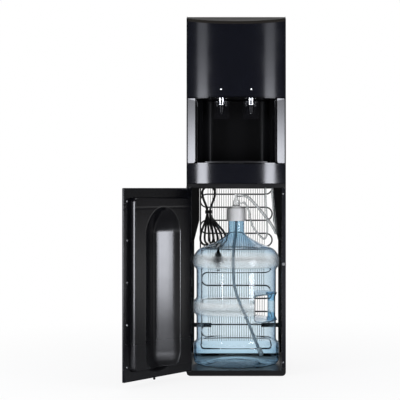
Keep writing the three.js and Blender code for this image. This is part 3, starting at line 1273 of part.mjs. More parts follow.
const GLAND_LOW = 566;
add('cord_gland', turned([
  [0, GLAND_LOW], [CORD + 1, GLAND_LOW], [CORD + 2.5, SHELF_TOP - SHELF_SHEET - 5],
  [11, SHELF_TOP - SHELF_SHEET - 4], [11, SHELF_TOP - SHELF_SHEET - SEAT], [8, SHELF_TOP - SHELF_SHEET - SEAT],
  [8, DECK], [11, DECK], [11, DECK + 4], [CORD + 1, DECK + 4], [CORD + 1, DECK + 7], [0, DECK + 7],
], GLAND_UP[0], GLAND_UP[1], 10), BLACK_RUBBER);
const leadX = hank[0].x;
add('cord_lead', pipe([
  [GLAND_UP[0], GLAND_LOW - SEAT], [GLAND_UP[0], 562], [(GLAND_UP[0] + leadX) / 2, 556],
  [leadX, HANK_START + HANK_STUB + 2], [leadX, HANK_START + HANK_STUB + SEAT],
].map(([x, z]) => new THREE.Vector3(x, GLAND_UP[1], z)), CORD, 8), BLACK_RUBBER);

function cordTie() {
  const hankBack = HANK_FRONT + HANK_PITCH * (HANK_LOOPS + 1);
  const out = (x, y) => roundedRectangle(HANK_X - x, HANK_X + x, HANK_FRONT - y, hankBack + y, 6);
  const ring = raise(out(WAIST_HALF + CORD + 3.2, CORD + 2.8), HANK_WAIST - 5, HANK_WAIST + 5, 2);
  return cut(ring, raise(out(WAIST_HALF + CORD + 1.6, CORD + 1.2), HANK_WAIST - 6, HANK_WAIST + 6, 2));
}
add('cord_tie', cordTie(), MATT_BLACK);

// Plug: a tapered grip hanging cord-end up, with two flat blades and a round earth pin.
function mainsPlug() {
  const end = hank[hank.length - 1];
  const top = end.z - SEAT;
  const grip = turned([
    [0, top - 52], [17, top - 52], [17, top - 36], [13, top - 30], [9, top - 16], [6, top - 12],
    [5, top], [0, top],
  ], 0, 0, 16).scale(1, 0.72, 1).translate(end.x, end.y + 3, 0);
  const blades = [-1, 1].map((side) => (
    block(end.x + side * 6.3 - 0.8, end.x + side * 6.3 + 0.8, end.y - 3.5, end.y + 2.8, top - 70, top - 51)
  ));
  const earth = bar(2.4, [end.x, end.y + 9, top - 72], [end.x, end.y + 9, top - 50], 10);
  return join(grip, ...blades, earth);
}
add('mains_plug', mainsPlug(), BLACK_RUBBER);

// ---------------------------------------------------------------- refrigerant pipes
// Bent tube from the compressor to the grid, and from the grid and the coil back to it.
const FINE_TUBE = 2.4;
const RISER_Y = BACK + 5;     // between the panel and the grid
const rowEnd = RUN_HALF + SEAT;
const lastRow = ROW_TOP - (ROWS - 1) * ROW_PITCH;
const compressorTop = DECK + 8 + MOUNT_PLATE + SEAT + 139;
add('discharge_pipe', pipe(bentLine([
  [COMPRESSOR_X + 30, COMPRESSOR_Y + 8, compressorTop - 2.8],
  [COMPRESSOR_X + 30, COMPRESSOR_Y + 8, compressorTop + 16],
  [22, COMPRESSOR_Y + 8, compressorTop + 16], [22, COMPRESSOR_Y + 28, 657], [106, CONDENSER_Y - 50, 657],
  [118, CONDENSER_Y, 657], [118, CONDENSER_Y, ROW_TOP], [rowEnd, CONDENSER_Y, ROW_TOP],
], 9, 3), FINE_TUBE, 6), COPPER);
add('condenser_outlet_pipe', pipe(bentLine([
  [rowEnd, CONDENSER_Y, lastRow], [115, CONDENSER_Y, lastRow], [119, RISER_Y, 38],
  [-118, RISER_Y, 38], [-118, RISER_Y, 657], [-95, CONDENSER_Y - 30, 657],
  [-95, DRIER_Y, 626], [DRIER_X, DRIER_Y, 626], [DRIER_X, DRIER_Y, 639.7],
], 9, 3), FINE_TUBE, 6), MATT_BLACK);
export default cooler;
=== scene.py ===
"""Bottom load water cooler with its door open. Metres, Z up, front to -Y."""

from math import cos, pi, radians, sin

import bmesh
import bpy
import numpy as np
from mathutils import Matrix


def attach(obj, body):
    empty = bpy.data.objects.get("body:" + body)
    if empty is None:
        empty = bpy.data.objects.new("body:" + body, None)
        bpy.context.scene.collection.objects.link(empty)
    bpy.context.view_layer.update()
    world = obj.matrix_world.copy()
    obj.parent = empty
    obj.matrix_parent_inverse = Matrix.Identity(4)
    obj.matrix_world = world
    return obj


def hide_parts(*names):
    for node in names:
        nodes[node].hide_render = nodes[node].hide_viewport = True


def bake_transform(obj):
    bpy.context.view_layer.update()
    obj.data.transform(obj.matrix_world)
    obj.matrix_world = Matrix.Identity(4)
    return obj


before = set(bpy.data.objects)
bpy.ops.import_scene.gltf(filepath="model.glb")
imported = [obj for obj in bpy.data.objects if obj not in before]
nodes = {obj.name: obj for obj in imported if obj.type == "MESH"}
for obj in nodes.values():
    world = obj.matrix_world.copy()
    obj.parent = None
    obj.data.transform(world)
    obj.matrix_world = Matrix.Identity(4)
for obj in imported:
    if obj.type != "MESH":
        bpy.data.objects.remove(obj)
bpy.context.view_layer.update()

# ---------------------------------------------------------------- camera
# Level with the door's top edge, 3.6 m in front of the cabinet. The shift puts the cabinet right of the
# middle of the picture, because the open door takes up room on its left.
CABINET_FRONT = -0.165
STAND_OFF = 3.625
EYE_HEIGHT = 0.568
SENSOR_WIDTH = 36
FOCAL_LENGTH = 108
SHIFT_X = -0.0905
SHIFT_Y = -0.03

lens = bpy.data.cameras.new("camera")
lens.sensor_width = SENSOR_WIDTH
lens.lens = FOCAL_LENGTH
lens.shift_x = SHIFT_X
lens.shift_y = SHIFT_Y
camera = bpy.data.objects.new("camera", lens)
camera.location = (0, CABINET_FRONT - STAND_OFF, EYE_HEIGHT)
camera.rotation_euler = (pi / 2, 0, 0)
bpy.context.collection.objects.link(camera)
bpy.context.scene.camera = camera
bpy.context.scene.view_settings.view_transform = "Standard"

# ---------------------------------------------------------------- mains cord
# Round rubber lead of 7 mm. It drops out of a gland under the bay's ceiling into a tied hank of four
# loops that hangs behind the bottle, and ends in a moulded plug.
CORD_RADIUS = 0.0035
GLAND_X = -0.069
GLAND_Y = 0.115
GLAND_LOW = 0.566
LEAD_DROPS = (0.562, 0.556)
HANK_X = -0.090
HANK_BEND = 0.021
HANK_TOP = 0.552
HANK_LOW = 0.402
HANK_WAIST = 0.490
HANK_START = 0.540
HANK_STUB = 0.005
HANK_PITCH = 0.0078
WAIST_HALF = 0.0046
LOBE_START = -0.006
LOBE_FAN = 0.014
HANK_LOOPS = 4
HANK_TAIL = [(-0.080, 0.462), (-0.069, 0.434), (-0.061, 0.408), (-0.060, 0.390), (-0.060, 0.372)]


class Value:
    """A number inside a material: arithmetic on it adds Math nodes."""

    def __init__(self, paint, socket):
        self.paint = paint
        self.socket = socket

    def __add__(self, other):
        return self.paint.maths("ADD", self, other)

    def __sub__(self, other):
        return self.paint.maths("SUBTRACT", self, other)

    def __rsub__(self, other):
        return self.paint.maths("SUBTRACT", other, self)

    def __mul__(self, other):
        return self.paint.maths("MULTIPLY", self, other)

    def __pow__(self, other):
        return self.paint.maths("POWER", self, other)

    __radd__ = __add__
    __rmul__ = __mul__

    def above(self, low, high):
        """0 below low, 1 over high, and a smooth step between them."""
        return self.paint.node(
            "ShaderNodeMapRange", {"interpolation_type": "SMOOTHSTEP"},
            {"Value": self, "From Min": low, "From Max": high},
        )


class Paint:
    """One material: its tree, its shader, and one method that adds any node."""

    def __init__(self, name, colour, roughness, **constants):
        self.material = bpy.data.materials.new(name)
        self.material.use_nodes = True
        self.material.diffuse_color = (*colour, 1)
        self.tree = self.material.node_tree
        self.shader = self.tree.nodes["Principled BSDF"]
        self.shader.inputs["Base Color"].default_value = (*colour, 1)
        self.shader.inputs["Roughness"].default_value = roughness
        for words, value in constants.items():
            self.shader.inputs[words.replace("_", " ")].default_value = value

    def node(self, kind, settings=None, sockets=None, output=0):
        made = self.tree.nodes.new(kind)
        for key, value in (settings or {}).items():
            if key == "stops":
                ramp = made.color_ramp.elements
                while len(ramp) < len(value):
                    ramp.new(0.5)
                for stop, (place, shade) in zip(ramp, value):
                    stop.position = place
                    stop.color = (*shade, 1)
            else:
                setattr(made, key, value)
        for key, value in (sockets or {}).items():
            self.join(value, made.inputs[key])
        return Value(self, made.outputs[output])

    def join(self, value, socket):
        if isinstance(value, Value):
            self.tree.links.new(value.socket, socket)
        else:
            socket.default_value = value

    def maths(self, operation, first, second):
        return self.node("ShaderNodeMath", {"operation": operation}, {0: first, 1: second})

    def feed(self, words, value):
        self.join(value, self.shader.inputs[words])
        return self

    def place(self, scale=(1, 1, 1)):
        """The piece's own coordinates in metres, scaled."""
        own = self.node("ShaderNodeTexCoord", output="Object")
        return self.node("ShaderNodeMapping", None, {"Vector": own, "Scale": scale})

    def noise(self, scale, detail=3.0, roughness=0.5, stretch=(1, 1, 1)):
        return self.node(
            "ShaderNodeTexNoise", None,
            {"Vector": self.place(stretch), "Scale": scale, "Detail": detail, "Roughness": roughness},
        )

    def mix(self, amount, first, second):
        """A colour between two: colours are triples or sockets."""
        def four(colour):
            return (*colour, 1) if isinstance(colour, tuple) else colour
        return self.node(
            "ShaderNodeMix", {"data_type": "RGBA"}, {0: amount, 6: four(first), 7: four(second)}, 2,
        )

    def along(self, axis):
        """The piece's own X, Y or Z, in metres."""
        return self.node("ShaderNodeSeparateXYZ", None, {0: self.place()}, axis)

    def uneven(self, scale, least, extra, start=0.3, full=0.8, detail=3.0):
        """Roughness in patches: least, and up to extra more where the noise passes from start to full."""
        return self.feed("Roughness", self.noise(scale, detail).above(start, full) * extra + least)

    def bump(self, height, distance, strength=1.0):
        """Raises the surface by height times distance, in metres."""
        return self.feed("Normal", self.node(
            "ShaderNodeBump", None, {"Height": height, "Distance": distance, "Strength": strength},
        ))

    def grain(self, scale, distance, strength=1.0, detail=3.0):
        """Bumps of noise, distance high."""
        return self.bump(self.noise(scale, detail), distance, strength)


SAME_SPOT = 1e-6


def as_object(name, mesh, paint, crease=40):
    """Merges double points, turns the faces of a closed mesh outwards, and shades it smooth up to the
    crease angle."""
    work = bmesh.new()
    work.from_mesh(mesh)
    bmesh.ops.remove_doubles(work, verts=work.verts, dist=SAME_SPOT)
    bmesh.ops.recalc_face_normals(work, faces=work.faces)
    work.to_mesh(mesh)
    work.free()
    mesh.polygons.foreach_set("use_smooth", np.ones(len(mesh.polygons), bool))
    mesh.set_sharp_from_angle(angle=radians(crease))
    mesh.materials.append(paint.material)
    made = bpy.data.objects.new(name, mesh)
    bpy.context.collection.objects.link(made)
    return made


def surface(name, points, paint, crease=40, closed=False):
    """A mesh through a grid of points, shaped (rows, columns, 3).

    Point (i, j) is joined to (i + 1, j) and (i, j + 1). Each row is a ring, whose last point is joined to
    its first. Where closed is true, the last row is joined to the first one too. Points that coincide,
    as at a pole, become one.
    """
    rows, columns = points.shape[:2]
    index = np.arange(rows * columns).reshape(rows, columns)
    index = np.hstack([index, index[:, :1]])
    if closed:
        index = np.vstack([index, index[:1]])
    quads = np.stack([index[:-1, :-1], index[1:, :-1], index[1:, 1:], index[:-1, 1:]], axis=-1)
    mesh = bpy.data.meshes.new(name)
    mesh.from_pydata(points.reshape(-1, 3).tolist(), [], quads.reshape(-1, 4).tolist())
    return as_object(name, mesh, paint, crease)


def through(points, steps):
    """A smooth line through points: on each stretch, the cubic whose slope at a point is half the step
    from the point before it to the point after it."""
    p = np.array(points, float)
    p = np.vstack([2 * p[0] - p[1], p, 2 * p[-1] - p[-2]])
    t = (np.arange(steps) / steps)[None, :, None]
    a, b, c, d = (p[k:len(p) - 3 + k, None, :] for k in range(4))
    line = b + 0.5 * t * (c - a + t * (2 * a - 5 * b + 4 * c - d + t * (3 * (b - c) + d - a)))
    return np.vstack([line.reshape(-1, p.shape[1]), p[-2]])


def rings_along(path, section):
    """Rings of a section carried along a path: the section's x and y lie on two directions square to
    the path, which turn with it and don't twist. section is (columns, 2) or (rows, columns, 2)."""
    step = np.gradient(path, axis=0)
    tangent = step / np.linalg.norm(step, axis=1, keepdims=True)
    side = np.cross(tangent[0], (0.0, 0.0, 1.0) if abs(tangent[0][2]) < 0.9 else (0.0, 1.0, 0.0))
    sides = []
    for direction in tangent:
        side = side - direction * np.dot(side, direction)
        side = side / np.linalg.norm(side)
        sides.append(side)
    across = np.array(sides)
    upward = np.cross(tangent, across)
    flat = np.broadcast_to(section, (len(path), *section.shape[-2:]))
    return path[:, None, :] + flat[..., :1] * across[:, None, :] + flat[..., 1:] * upward[:, None, :]


def circle(sides):
    """Points of a unit circle."""
    angle = np.arange(sides) * 2 * pi / sides
    return np.stack([np.cos(angle), np.sin(angle)], axis=-1)


def capped(rings, first=None, last=None):
    """Rings closed at both ends by the points first and last, or else by the middles of the end rings."""
    first = rings[0].mean(axis=0) if first is None else first
    last = rings[-1].mean(axis=0) if last is None else last
    ends = [np.broadcast_to(point, rings[:1].shape) for point in (first, last)]
    return np.concatenate([ends[0], rings, ends[1]])


def tube(name, path, radius, paint, sides=16):
    """A round tube along a path, closed at its ends. radius is one number or one for each point."""
    reach = np.broadcast_to(radius, len(path)).reshape(-1, 1, 1)
    rings = rings_along(path, reach * circle(sides))
    return surface(name, capped(rings, path[0], path[-1]), paint)


def settle(piece, body, finish, *stands_for):
    """Says which body a piece rides on, and hides the plain solids that it stands for. finish is not used."""
    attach(piece, body)
    if stands_for:
        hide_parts(*stands_for)


def dress(paint, *names):
    """Gives pieces that keep their plain solid a finish."""
    for name in names:
        slots = nodes[name].data.materials
        slots.clear()
        slots.append(paint.material)


def hank_half(z):
    """Half the hank's width at height z: a raised cosine from the waist out to the bends."""
    reach = HANK_TOP - HANK_WAIST if z > HANK_WAIST else HANK_WAIST - HANK_LOW
    way = min(1, abs(z - HANK_WAIST) / reach)
    return WAIST_HALF + (HANK_BEND - WAIST_HALF) * (0.5 - 0.5 * cos(pi * way))


def hank_lean(z, loop):
    """How far a loop leans to its own side below the waist."""
    way = min(1, max(0, (HANK_WAIST - z) / (HANK_WAIST - HANK_LOW)))
    return (LOBE_START + LOBE_FAN * loop) * (0.5 - 0.5 * cos(pi * way))


def hank_route():
    """Down the right run while it climbs one pitch back, round the bottom, up the left run and over."""
    route = []

    def point(x, layer, z):
        route.append((x, GLAND_Y + layer * HANK_PITCH, z))

    lead_x = HANK_X + hank_half(HANK_START)
    point(GLAND_X, 0, GLAND_LOW)
    point(GLAND_X, 0, LEAD_DROPS[0])
    point((GLAND_X + lead_x) / 2, 0, LEAD_DROPS[1])
    point(lead_x, 0, HANK_START + HANK_STUB)
    run = 7
    bend = 5
    for loop in range(HANK_LOOPS):
        top = HANK_TOP if loop else HANK_START
        for k in range(run + 1):
            z = top + (HANK_LOW - top) * k / run
            point(HANK_X + hank_lean(z, loop) + hank_half(z), loop + k / run, z)
        for k in range(1, bend):
            angle = pi * k / bend
            x = HANK_X + hank_lean(HANK_LOW, loop) + HANK_BEND * cos(angle)
            point(x, loop + 1, HANK_LOW - HANK_BEND * sin(angle))
        for k in range(run + 1):
            z = HANK_LOW + (HANK_TOP - HANK_LOW) * k / run
            point(HANK_X + hank_lean(z, loop) - hank_half(z), loop + 1, z)
        for k in range(1, bend):
            angle = pi - pi * k / bend
            point(HANK_X + HANK_BEND * cos(angle), loop + 1, HANK_TOP + HANK_BEND * sin(angle))
    for k in range(5):
        z = HANK_TOP + (HANK_WAIST - HANK_TOP) * k / 4
        point(HANK_X + hank_half(z), HANK_LOOPS + k / 4, z)
    for x, z in HANK_TAIL:
        point(x, HANK_LOOPS + 1, z)
    return route


rubber = Paint("cord_rubber", (0.018, 0.018, 0.019), 0.55)
rubber.uneven(260, 0.45, 0.2, 0.2, 0.9).grain(900, 0.00008, detail=4)

cord_path = through(hank_route(), 3)
mains_cord = tube("mains_cord", cord_path, CORD_RADIUS, rubber, 12)
settle(mains_cord, "cabinet", "rubber", "cord_hank", "cord_lead")
dress(rubber, "cord_gland", "cord_tie", "mains_plug")

# ---------------------------------------------------------------- hoses
# Clear vinyl: a 9 mm water hose and a 6 mm vent hose run from the probe, behind the bottle's shoulder,
# up to a bulkhead in the bay's ceiling, with slack to draw the bottle out.
BOTTLE_Y = -0.015
PROBE_TOP = 0.549
BARB_HEIGHT = 0.521
BULKHEAD_LOW = 0.5755
WATER_RADIUS = 0.0045
WATER_WALL = 0.0012
VENT_RADIUS = 0.0032
VENT_WALL = 0.0009
WATER_HOSE = [
    (0.0169, BOTTLE_Y + 0.0021, PROBE_TOP - 0.005), (0.025, BOTTLE_Y + 0.0031, PROBE_TOP - 0.005),
    (0.042, BOTTLE_Y + 0.008, 0.535), (0.072, BOTTLE_Y + 0.016, 0.503), (0.103, BOTTLE_Y + 0.026, 0.464),
    (0.121, BOTTLE_Y + 0.042, 0.436), (0.127, BOTTLE_Y + 0.066, 0.424), (0.127, BOTTLE_Y + 0.094, 0.446),
    (0.122, BOTTLE_Y + 0.114, 0.500), (0.118, 0.105, 0.548), (0.118, 0.105, BULKHEAD_LOW),
]
VENT_HOSE = [
    (0.0207, BOTTLE_Y + 0.0045, BARB_HEIGHT), (0.027, BOTTLE_Y + 0.0065, BARB_HEIGHT),
    (0.039, BOTTLE_Y + 0.018, 0.498), (0.050, BOTTLE_Y + 0.038, 0.452), (0.072, BOTTLE_Y + 0.070, 0.420),
    (0.092, BOTTLE_Y + 0.104, 0.404), (0.101, BOTTLE_Y + 0.130, 0.430), (0.098, BOTTLE_Y + 0.146, 0.500),
    (0.096, 0.135, 0.548), (0.096, 0.135, BULKHEAD_LOW),
]

vinyl = Paint("clear_vinyl", (0.93, 0.95, 0.955), 0.12, Transmission_Weight=0.85, IOR=1.25)
vinyl.uneven(120, 0.06, 0.12)


def hose(name, points, radius, wall, node, steps=8, sides=20):
    """A hose with its bore: one sweep whose rings run along the outside and back along the inside."""
    path = through(points, steps)
    outside = rings_along(path, radius * circle(sides))
    inside = rings_along(path, (radius - wall) * circle(sides))[::-1]
    made = surface(name, np.concatenate([outside, inside]), vinyl, closed=True)
    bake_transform(made)
    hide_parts(node)


hose("water_hose_soft", WATER_HOSE, WATER_RADIUS, WATER_WALL, "water_hose")
hose("vent_hose_soft", VENT_HOSE, VENT_RADIUS, VENT_WALL, "vent_hose")

# ---------------------------------------------------------------- bottle
# Returnable 5 gallon bottle, blown in clear blue polycarbonate: raised bands, a sloping shoulder, a
# pushed-up base, and a grip moulded through its right side. It is empty.
BOTTLE_RADIUS = 0.135
BOTTLE_WAIST = 0.125
BOTTLE_BASE = 0.017
BOTTLE_WALL = 0.0016
NECK_RADIUS = 0.025
NECK_TOP = 0.497
GRIP_IN = 0.057
GRIP_LOW = 0.155
GRIP_HIGH = 0.239
GRIP_SLOPE = 0.011
GRIP_ZONE = (0.1, 0.3)
GRIP_ROWS = 14
GRIP_MARGIN = 0.001
BAR_INNER = 0.098
BAR_OUTER = 0.123
BAR_HALF_DEPTH = 0.016
BAR_ROWS = 26
BAR_OVERLAP = 0.0012
BAR_BORE = 0.87
BAR_FLARE = 0.45
BAR_STRAIGHT = 0.7

# Corner points of the side, as (radius, height over the base), each with the rounding that it gets.
SIDE = [
    (0.0, 0.014, 0.0), (0.060, 0.012, 0.010), (0.098, 0.003, 0.006), (0.106, 0.0, 0.004),
    (0.118, 0.0, 0.006), (0.131, 0.004, 0.006),
    (BOTTLE_RADIUS, 0.016, 0.006), (BOTTLE_RADIUS, 0.066, 0.005),
    (BOTTLE_WAIST, 0.075, 0.005), (BOTTLE_WAIST, 0.153, 0.005),
    (BOTTLE_RADIUS, 0.163, 0.005), (BOTTLE_RADIUS, 0.196, 0.005),
    (BOTTLE_WAIST, 0.207, 0.005), (BOTTLE_WAIST, 0.297, 0.005),
    (BOTTLE_RADIUS, 0.308, 0.005), (BOTTLE_RADIUS, 0.338, 0.012),
    (0.118, 0.361, 0.012), (0.071, 0.379, 0.012), (0.036, 0.399, 0.012),
    (NECK_RADIUS, 0.411, 0.006), (NECK_RADIUS, 0.466, 0.001), (0.0275, 0.468, 0.001),
    (0.0275, 0.472, 0.001), (NECK_RADIUS, 0.474, 0.001), (NECK_RADIUS, 0.480, 0.0),
]


def rounded(corners, steps=6):
    """A line through corners, each cut by a quadratic curve that starts and ends its rounding away,
    but never past the middle of a stretch. corners are (x, y, rounding)."""
    spots = np.array(corners, float)
    p = spots[:, :2]
    line = [p[:1]]
    t = np.linspace(0, 1, steps)[:, None]
    for k in range(1, len(p) - 1):
        back, ahead = p[k - 1] - p[k], p[k + 1] - p[k]
        reach = min(spots[k, 2], 0.49 * np.linalg.norm(back), 0.49 * np.linalg.norm(ahead))
        start = p[k] + back / np.linalg.norm(back) * reach
        end = p[k] + ahead / np.linalg.norm(ahead) * reach
        line.append((1 - t) ** 2 * start + 2 * t * (1 - t) * p[k] + t ** 2 * end)
    line.append(p[-1:])
    return np.vstack(line)


def denser(line, step):
    """The same line with points no further apart than step."""
    parts = []
    for start, end in zip(line[:-1], line[1:]):
        count = max(1, int(np.ceil(np.linalg.norm(end - start) / step)))
        parts.append(start + (end - start) * (np.arange(count) / count)[:, None])
    return np.vstack([*parts, line[-1:]])


def bottle_points(columns=160, step=0.006, least_cosine=0.3):
    """Radius r(z) turned round the axis, with extra rows in GRIP_ZONE. Where the grip is, r shrinks to the
    plane x = GRIP_IN, that is to GRIP_IN / cos(angle), and slopes back out over GRIP_SLOPE at the
    pocket's floor and roof. The cosine is kept from falling under a least value away from the grip."""
    side = denser(rounded(SIDE), step)
    heights = side[:, 1] + BOTTLE_BASE
    lower, upper = (int(np.argmax(heights > edge)) for edge in GRIP_ZONE)
    middle = np.sort(np.concatenate([
        heights[lower:upper],
        np.linspace(GRIP_LOW - GRIP_MARGIN, GRIP_LOW + GRIP_SLOPE, GRIP_ROWS),
        np.linspace(GRIP_HIGH - GRIP_SLOPE, GRIP_HIGH + GRIP_MARGIN, GRIP_ROWS),
    ]))
    middle_radius = np.interp(middle, heights[lower:upper + 1], side[lower:upper + 1, 0])
    z = np.concatenate([heights[:lower], middle, heights[upper:]])[:, None]
    radius = np.concatenate([side[:lower, 0], middle_radius, side[upper:, 0]])[:, None]
    angle = (np.arange(columns) * 2 * pi / columns)[None, :]
    into = np.clip(np.minimum(z - GRIP_LOW, GRIP_HIGH - z) / GRIP_SLOPE, 0, 1)
    into = into * into * (3 - 2 * into)
    plane = GRIP_IN / np.maximum(np.cos(angle), least_cosine)
    r = radius + (np.minimum(radius, plane) - radius) * into
    return np.stack([r * np.cos(angle), BOTTLE_Y + r * np.sin(angle), z + 0 * r], axis=-1)


NO_SIZE = 1e-12


def inward(points, depth):
    """The grid moved by depth against its normals, the cross products of its two directions. The second
    direction is closed. Where the points coincide, the normal is taken to point down."""
    upwards = np.gradient(points, axis=0)
    sideways = np.roll(points, -1, axis=1) - np.roll(points, 1, axis=1)
    normal = np.cross(sideways, upwards)
    size = np.linalg.norm(normal, axis=2, keepdims=True)
    normal = np.where(size > NO_SIZE, normal / np.maximum(size, NO_SIZE), (0.0, 0.0, -1.0))
    return points - normal * depth


# Heights of the two upper raised bands, which the crate has rubbed to a milky haze, as (low, high). The
# haze fades in from FADE_OUT outside a band's edge to FADE_IN inside it.
RUBBED_BANDS = ((0.176, 0.216), (0.322, 0.362))
FADE_OUT = 0.003
FADE_IN = 0.006
SHOULDER = (0.366, 0.420)
FOOT = (0.070, 0.085)


def clear_blue(name, face_on, edge_on):
    """Blue plastic, deeper where its wall is seen at a slant and in the thick shoulder and foot, with
    scuffed patches and milky bands. A wall n times as thick tints by the face-on colour to the power n,
    so the thick and the milky colours are powers of it."""
    thick_power, milky_power, slant_power = 3.6, 0.3, 2.2
    paint = Paint(name, face_on, 0.03, Transmission_Weight=1.0, IOR=1.30, Specular_IOR_Level=0.8)
    height = paint.along("Z")
    lower, upper = (
        height.above(low - FADE_OUT, low + FADE_IN) * (1.0 - height.above(high - FADE_IN, high + FADE_OUT))
        for low, high in RUBBED_BANDS
    )
    haze = lower + upper
    scuffs = paint.noise(30, 3, 0.5, (1, 1, 0.35)).above(0.52, 0.78)
    paint.feed("Roughness", scuffs * 0.08 + haze * 0.15 + 0.035)
    slant = paint.node("ShaderNodeLayerWeight", None, {"Blend": 0.5}, "Facing") ** slant_power
    thick = height.above(*SHOULDER) * 0.75 + (1.0 - height.above(*FOOT)) * 0.6
    wall = paint.mix(thick, face_on, tuple(channel ** thick_power for channel in face_on))
    clear = paint.mix(haze * 0.75, wall, tuple(channel ** milky_power for channel in face_on))
    paint.feed("Base Color", paint.mix(slant * (1.0 - haze * 0.5), clear, edge_on))
    return paint.grain(9, 0.0002, 0.3, 1)


blue = clear_blue("clear_blue_polycarbonate", (0.83, 0.905, 0.945), (0.10, 0.27, 0.48))
deep_blue = clear_blue("deep_blue_grip", (0.42, 0.62, 0.76), (0.05, 0.15, 0.28))

outside = bottle_points()
inside = inward(outside, BOTTLE_WALL)
inside[0, :, :2] = (0.0, BOTTLE_Y)
inside[-1, :, 2] = NECK_TOP
shell = surface("bottle_shell", np.concatenate([outside, inside[::-1]]), blue, 60)
settle(shell, "bottle_set", "bottle_blue", "bottle")


def at_height(flat, z):
    """Points of (x, y) with their heights added: z is one number, or an array that fits the points."""
    return np.concatenate([flat, np.broadcast_to(z, flat.shape[:-1])[..., None]], axis=-1)


def grip_bar(share, sides=28):
    """The grip's upright bar: ovals whose ends flare into the pocket's floor and roof, scaled by share."""
    z = np.linspace(GRIP_LOW - BAR_OVERLAP, GRIP_HIGH + BAR_OVERLAP, BAR_ROWS)
    end = np.maximum(0, np.abs(np.linspace(-1, 1, BAR_ROWS)) - BAR_STRAIGHT) / (1 - BAR_STRAIGHT)
    oval = circle(sides) * ((BAR_OUTER - BAR_INNER) / 2, BAR_HALF_DEPTH) * share
    flat = oval * (1 + BAR_FLARE * end)[:, None, None] + ((BAR_INNER + BAR_OUTER) / 2, BOTTLE_Y)
    return at_height(flat, z[:, None])


grip_walls = np.concatenate([grip_bar(1.0), grip_bar(BAR_BORE)[::-1]])
grip = surface("bottle_grip", grip_walls, deep_blue, closed=True)
settle(grip, "bottle_set", "bottle_blue")

# ---------------------------------------------------------------- intake probe
# A white cap snaps over the neck. A translucent fitting with two barbs passes through it, and from it
# hangs the dip tube, which bends in the bottle and ends in a strainer near the base.
ELBOW_Z = 0.544
ELBOW_RADIUS = 0.0042
VENT_BARB_RADIUS = 0.0028
BARB_RINGS = np.array([1, 1, 1.08, 1, 1.08, 0.9])
DIP_RADIUS = 0.0045
DIP_TUBE = [
    (0, BOTTLE_Y, 0.4965), (0, BOTTLE_Y, 0.470), (-0.002, BOTTLE_Y, 0.420),
    (-0.009, BOTTLE_Y - 0.002, 0.360), (-0.007, BOTTLE_Y - 0.003, 0.269), (0.012, BOTTLE_Y - 0.003, 0.205),
    (0.036, BOTTLE_Y - 0.002, 0.150), (0.062, BOTTLE_Y, 0.084), (0.070, BOTTLE_Y, 0.066),
]


def revolved(name, corners, centre, paint, sides=48, lying=False, closed=False):
    """Corners of (radius, height, rounding) turned about an axis through centre, which is upright or, if
    lying is true, runs to the back. A closed profile is a ring's; an open one starts and ends on it."""
    line = rounded(corners)
    angle = (np.arange(sides) * 2 * pi / sides)[None, :]
    r, h = line[:, :1], line[:, 1:]
    across, along, up = r * np.cos(angle), r * np.sin(angle), h + 0 * angle
    points = np.stack((across, up, along) if lying else (across, along, up), axis=-1)
    return surface(name, points + centre, paint, closed=closed)


white_cap = Paint("white_cap", (0.93, 0.93, 0.92), 0.35)
white_cap.uneven(180, 0.28, 0.18).grain(500, 0.00006)

cap = revolved("probe_cap_moulding", [
    (0.0073, 0.507, 0), (0.0073, 0.4973, 0.0006), (0.0278, 0.4973, 0.0006), (0.0278, 0.465, 0.0006),
    (0.0296, 0.465, 0.0006), (0.030, 0.470, 0.002), (0.0296, 0.5035, 0.002), (0.026, 0.507, 0.002),
    (0.0073, 0.507, 0),
], (0, BOTTLE_Y, 0), white_cap, 72, closed=True)
settle(cap, "bottle_set", "white_plastic", "probe_cap")

probe = revolved("probe_barb", [
    (0, 0.488, 0), (0.007, 0.488, 0.0005), (0.007, 0.5073, 0.0003), (0.014, 0.5073, 0.001),
    (0.014, 0.512, 0.001), (0.010, 0.514, 0.001), (0.010, 0.528, 0.001), (0.0065, 0.531, 0.001),
    (0.0065, 0.536, 0.001), (0.005, 0.538, 0.001), (0.005, 0.549, 0.002), (0, 0.549, 0),
], (0, BOTTLE_Y, 0), vinyl, 40)
settle(probe, "bottle_set", "clear_hose", "probe_fitting")
for name, start, end, radius in (
    ("probe_elbow", (0.001, BOTTLE_Y, ELBOW_Z), (0.0165, BOTTLE_Y + 0.002, ELBOW_Z), ELBOW_RADIUS),
    ("probe_vent_barb", (0.005, BOTTLE_Y + 0.001, BARB_HEIGHT), (0.0195, BOTTLE_Y + 0.0041, BARB_HEIGHT),
     VENT_BARB_RADIUS),
):
    spout = tube(name, np.linspace(start, end, len(BARB_RINGS)), radius * BARB_RINGS, vinyl)
    settle(spout, "bottle_set", "clear_hose")

smoked = Paint("smoked_tube", (0.36, 0.44, 0.50), 0.2, Transmission_Weight=0.7, IOR=1.3)
stains = smoked.noise(60).above(0.3, 0.8)
smoked.feed("Base Color", smoked.mix(stains, (0.30, 0.38, 0.44), (0.44, 0.52, 0.58)))
dip = tube("dip_tube_soft", through(DIP_TUBE, 6), DIP_RADIUS, smoked, 20)
settle(dip, "bottle_set", "dark_tube", "dip_tube")
dress(white_cap, "intake_strainer")

# ---------------------------------------------------------------- condenser
# Serpentine of black-painted steel tube with wires spot-welded alternately to its front and back. It
# shows through the open back of the bay.
GRID_Y = 0.178
GRID_TOP = 0.6336
GRID_PITCH = 0.04306
GRID_ROWS = 14
RUN_HALF = 0.097
GRID_TUBE = 0.0025
WIRE_COUNT = 26
WIRE_PITCH = 0.00744
WIRE_RADIUS = 0.0008
WIRE_SIDES = 8
WIRE_BELOW = 0.011
WIRE_ABOVE = 0.016

grid_black = Paint("grid_black", (0.016, 0.016, 0.018), 0.42, Specular_IOR_Level=0.6)
grid_black.uneven(90, 0.32, 0.25, 0.3, 0.75, 4).grain(700, 0.00005)


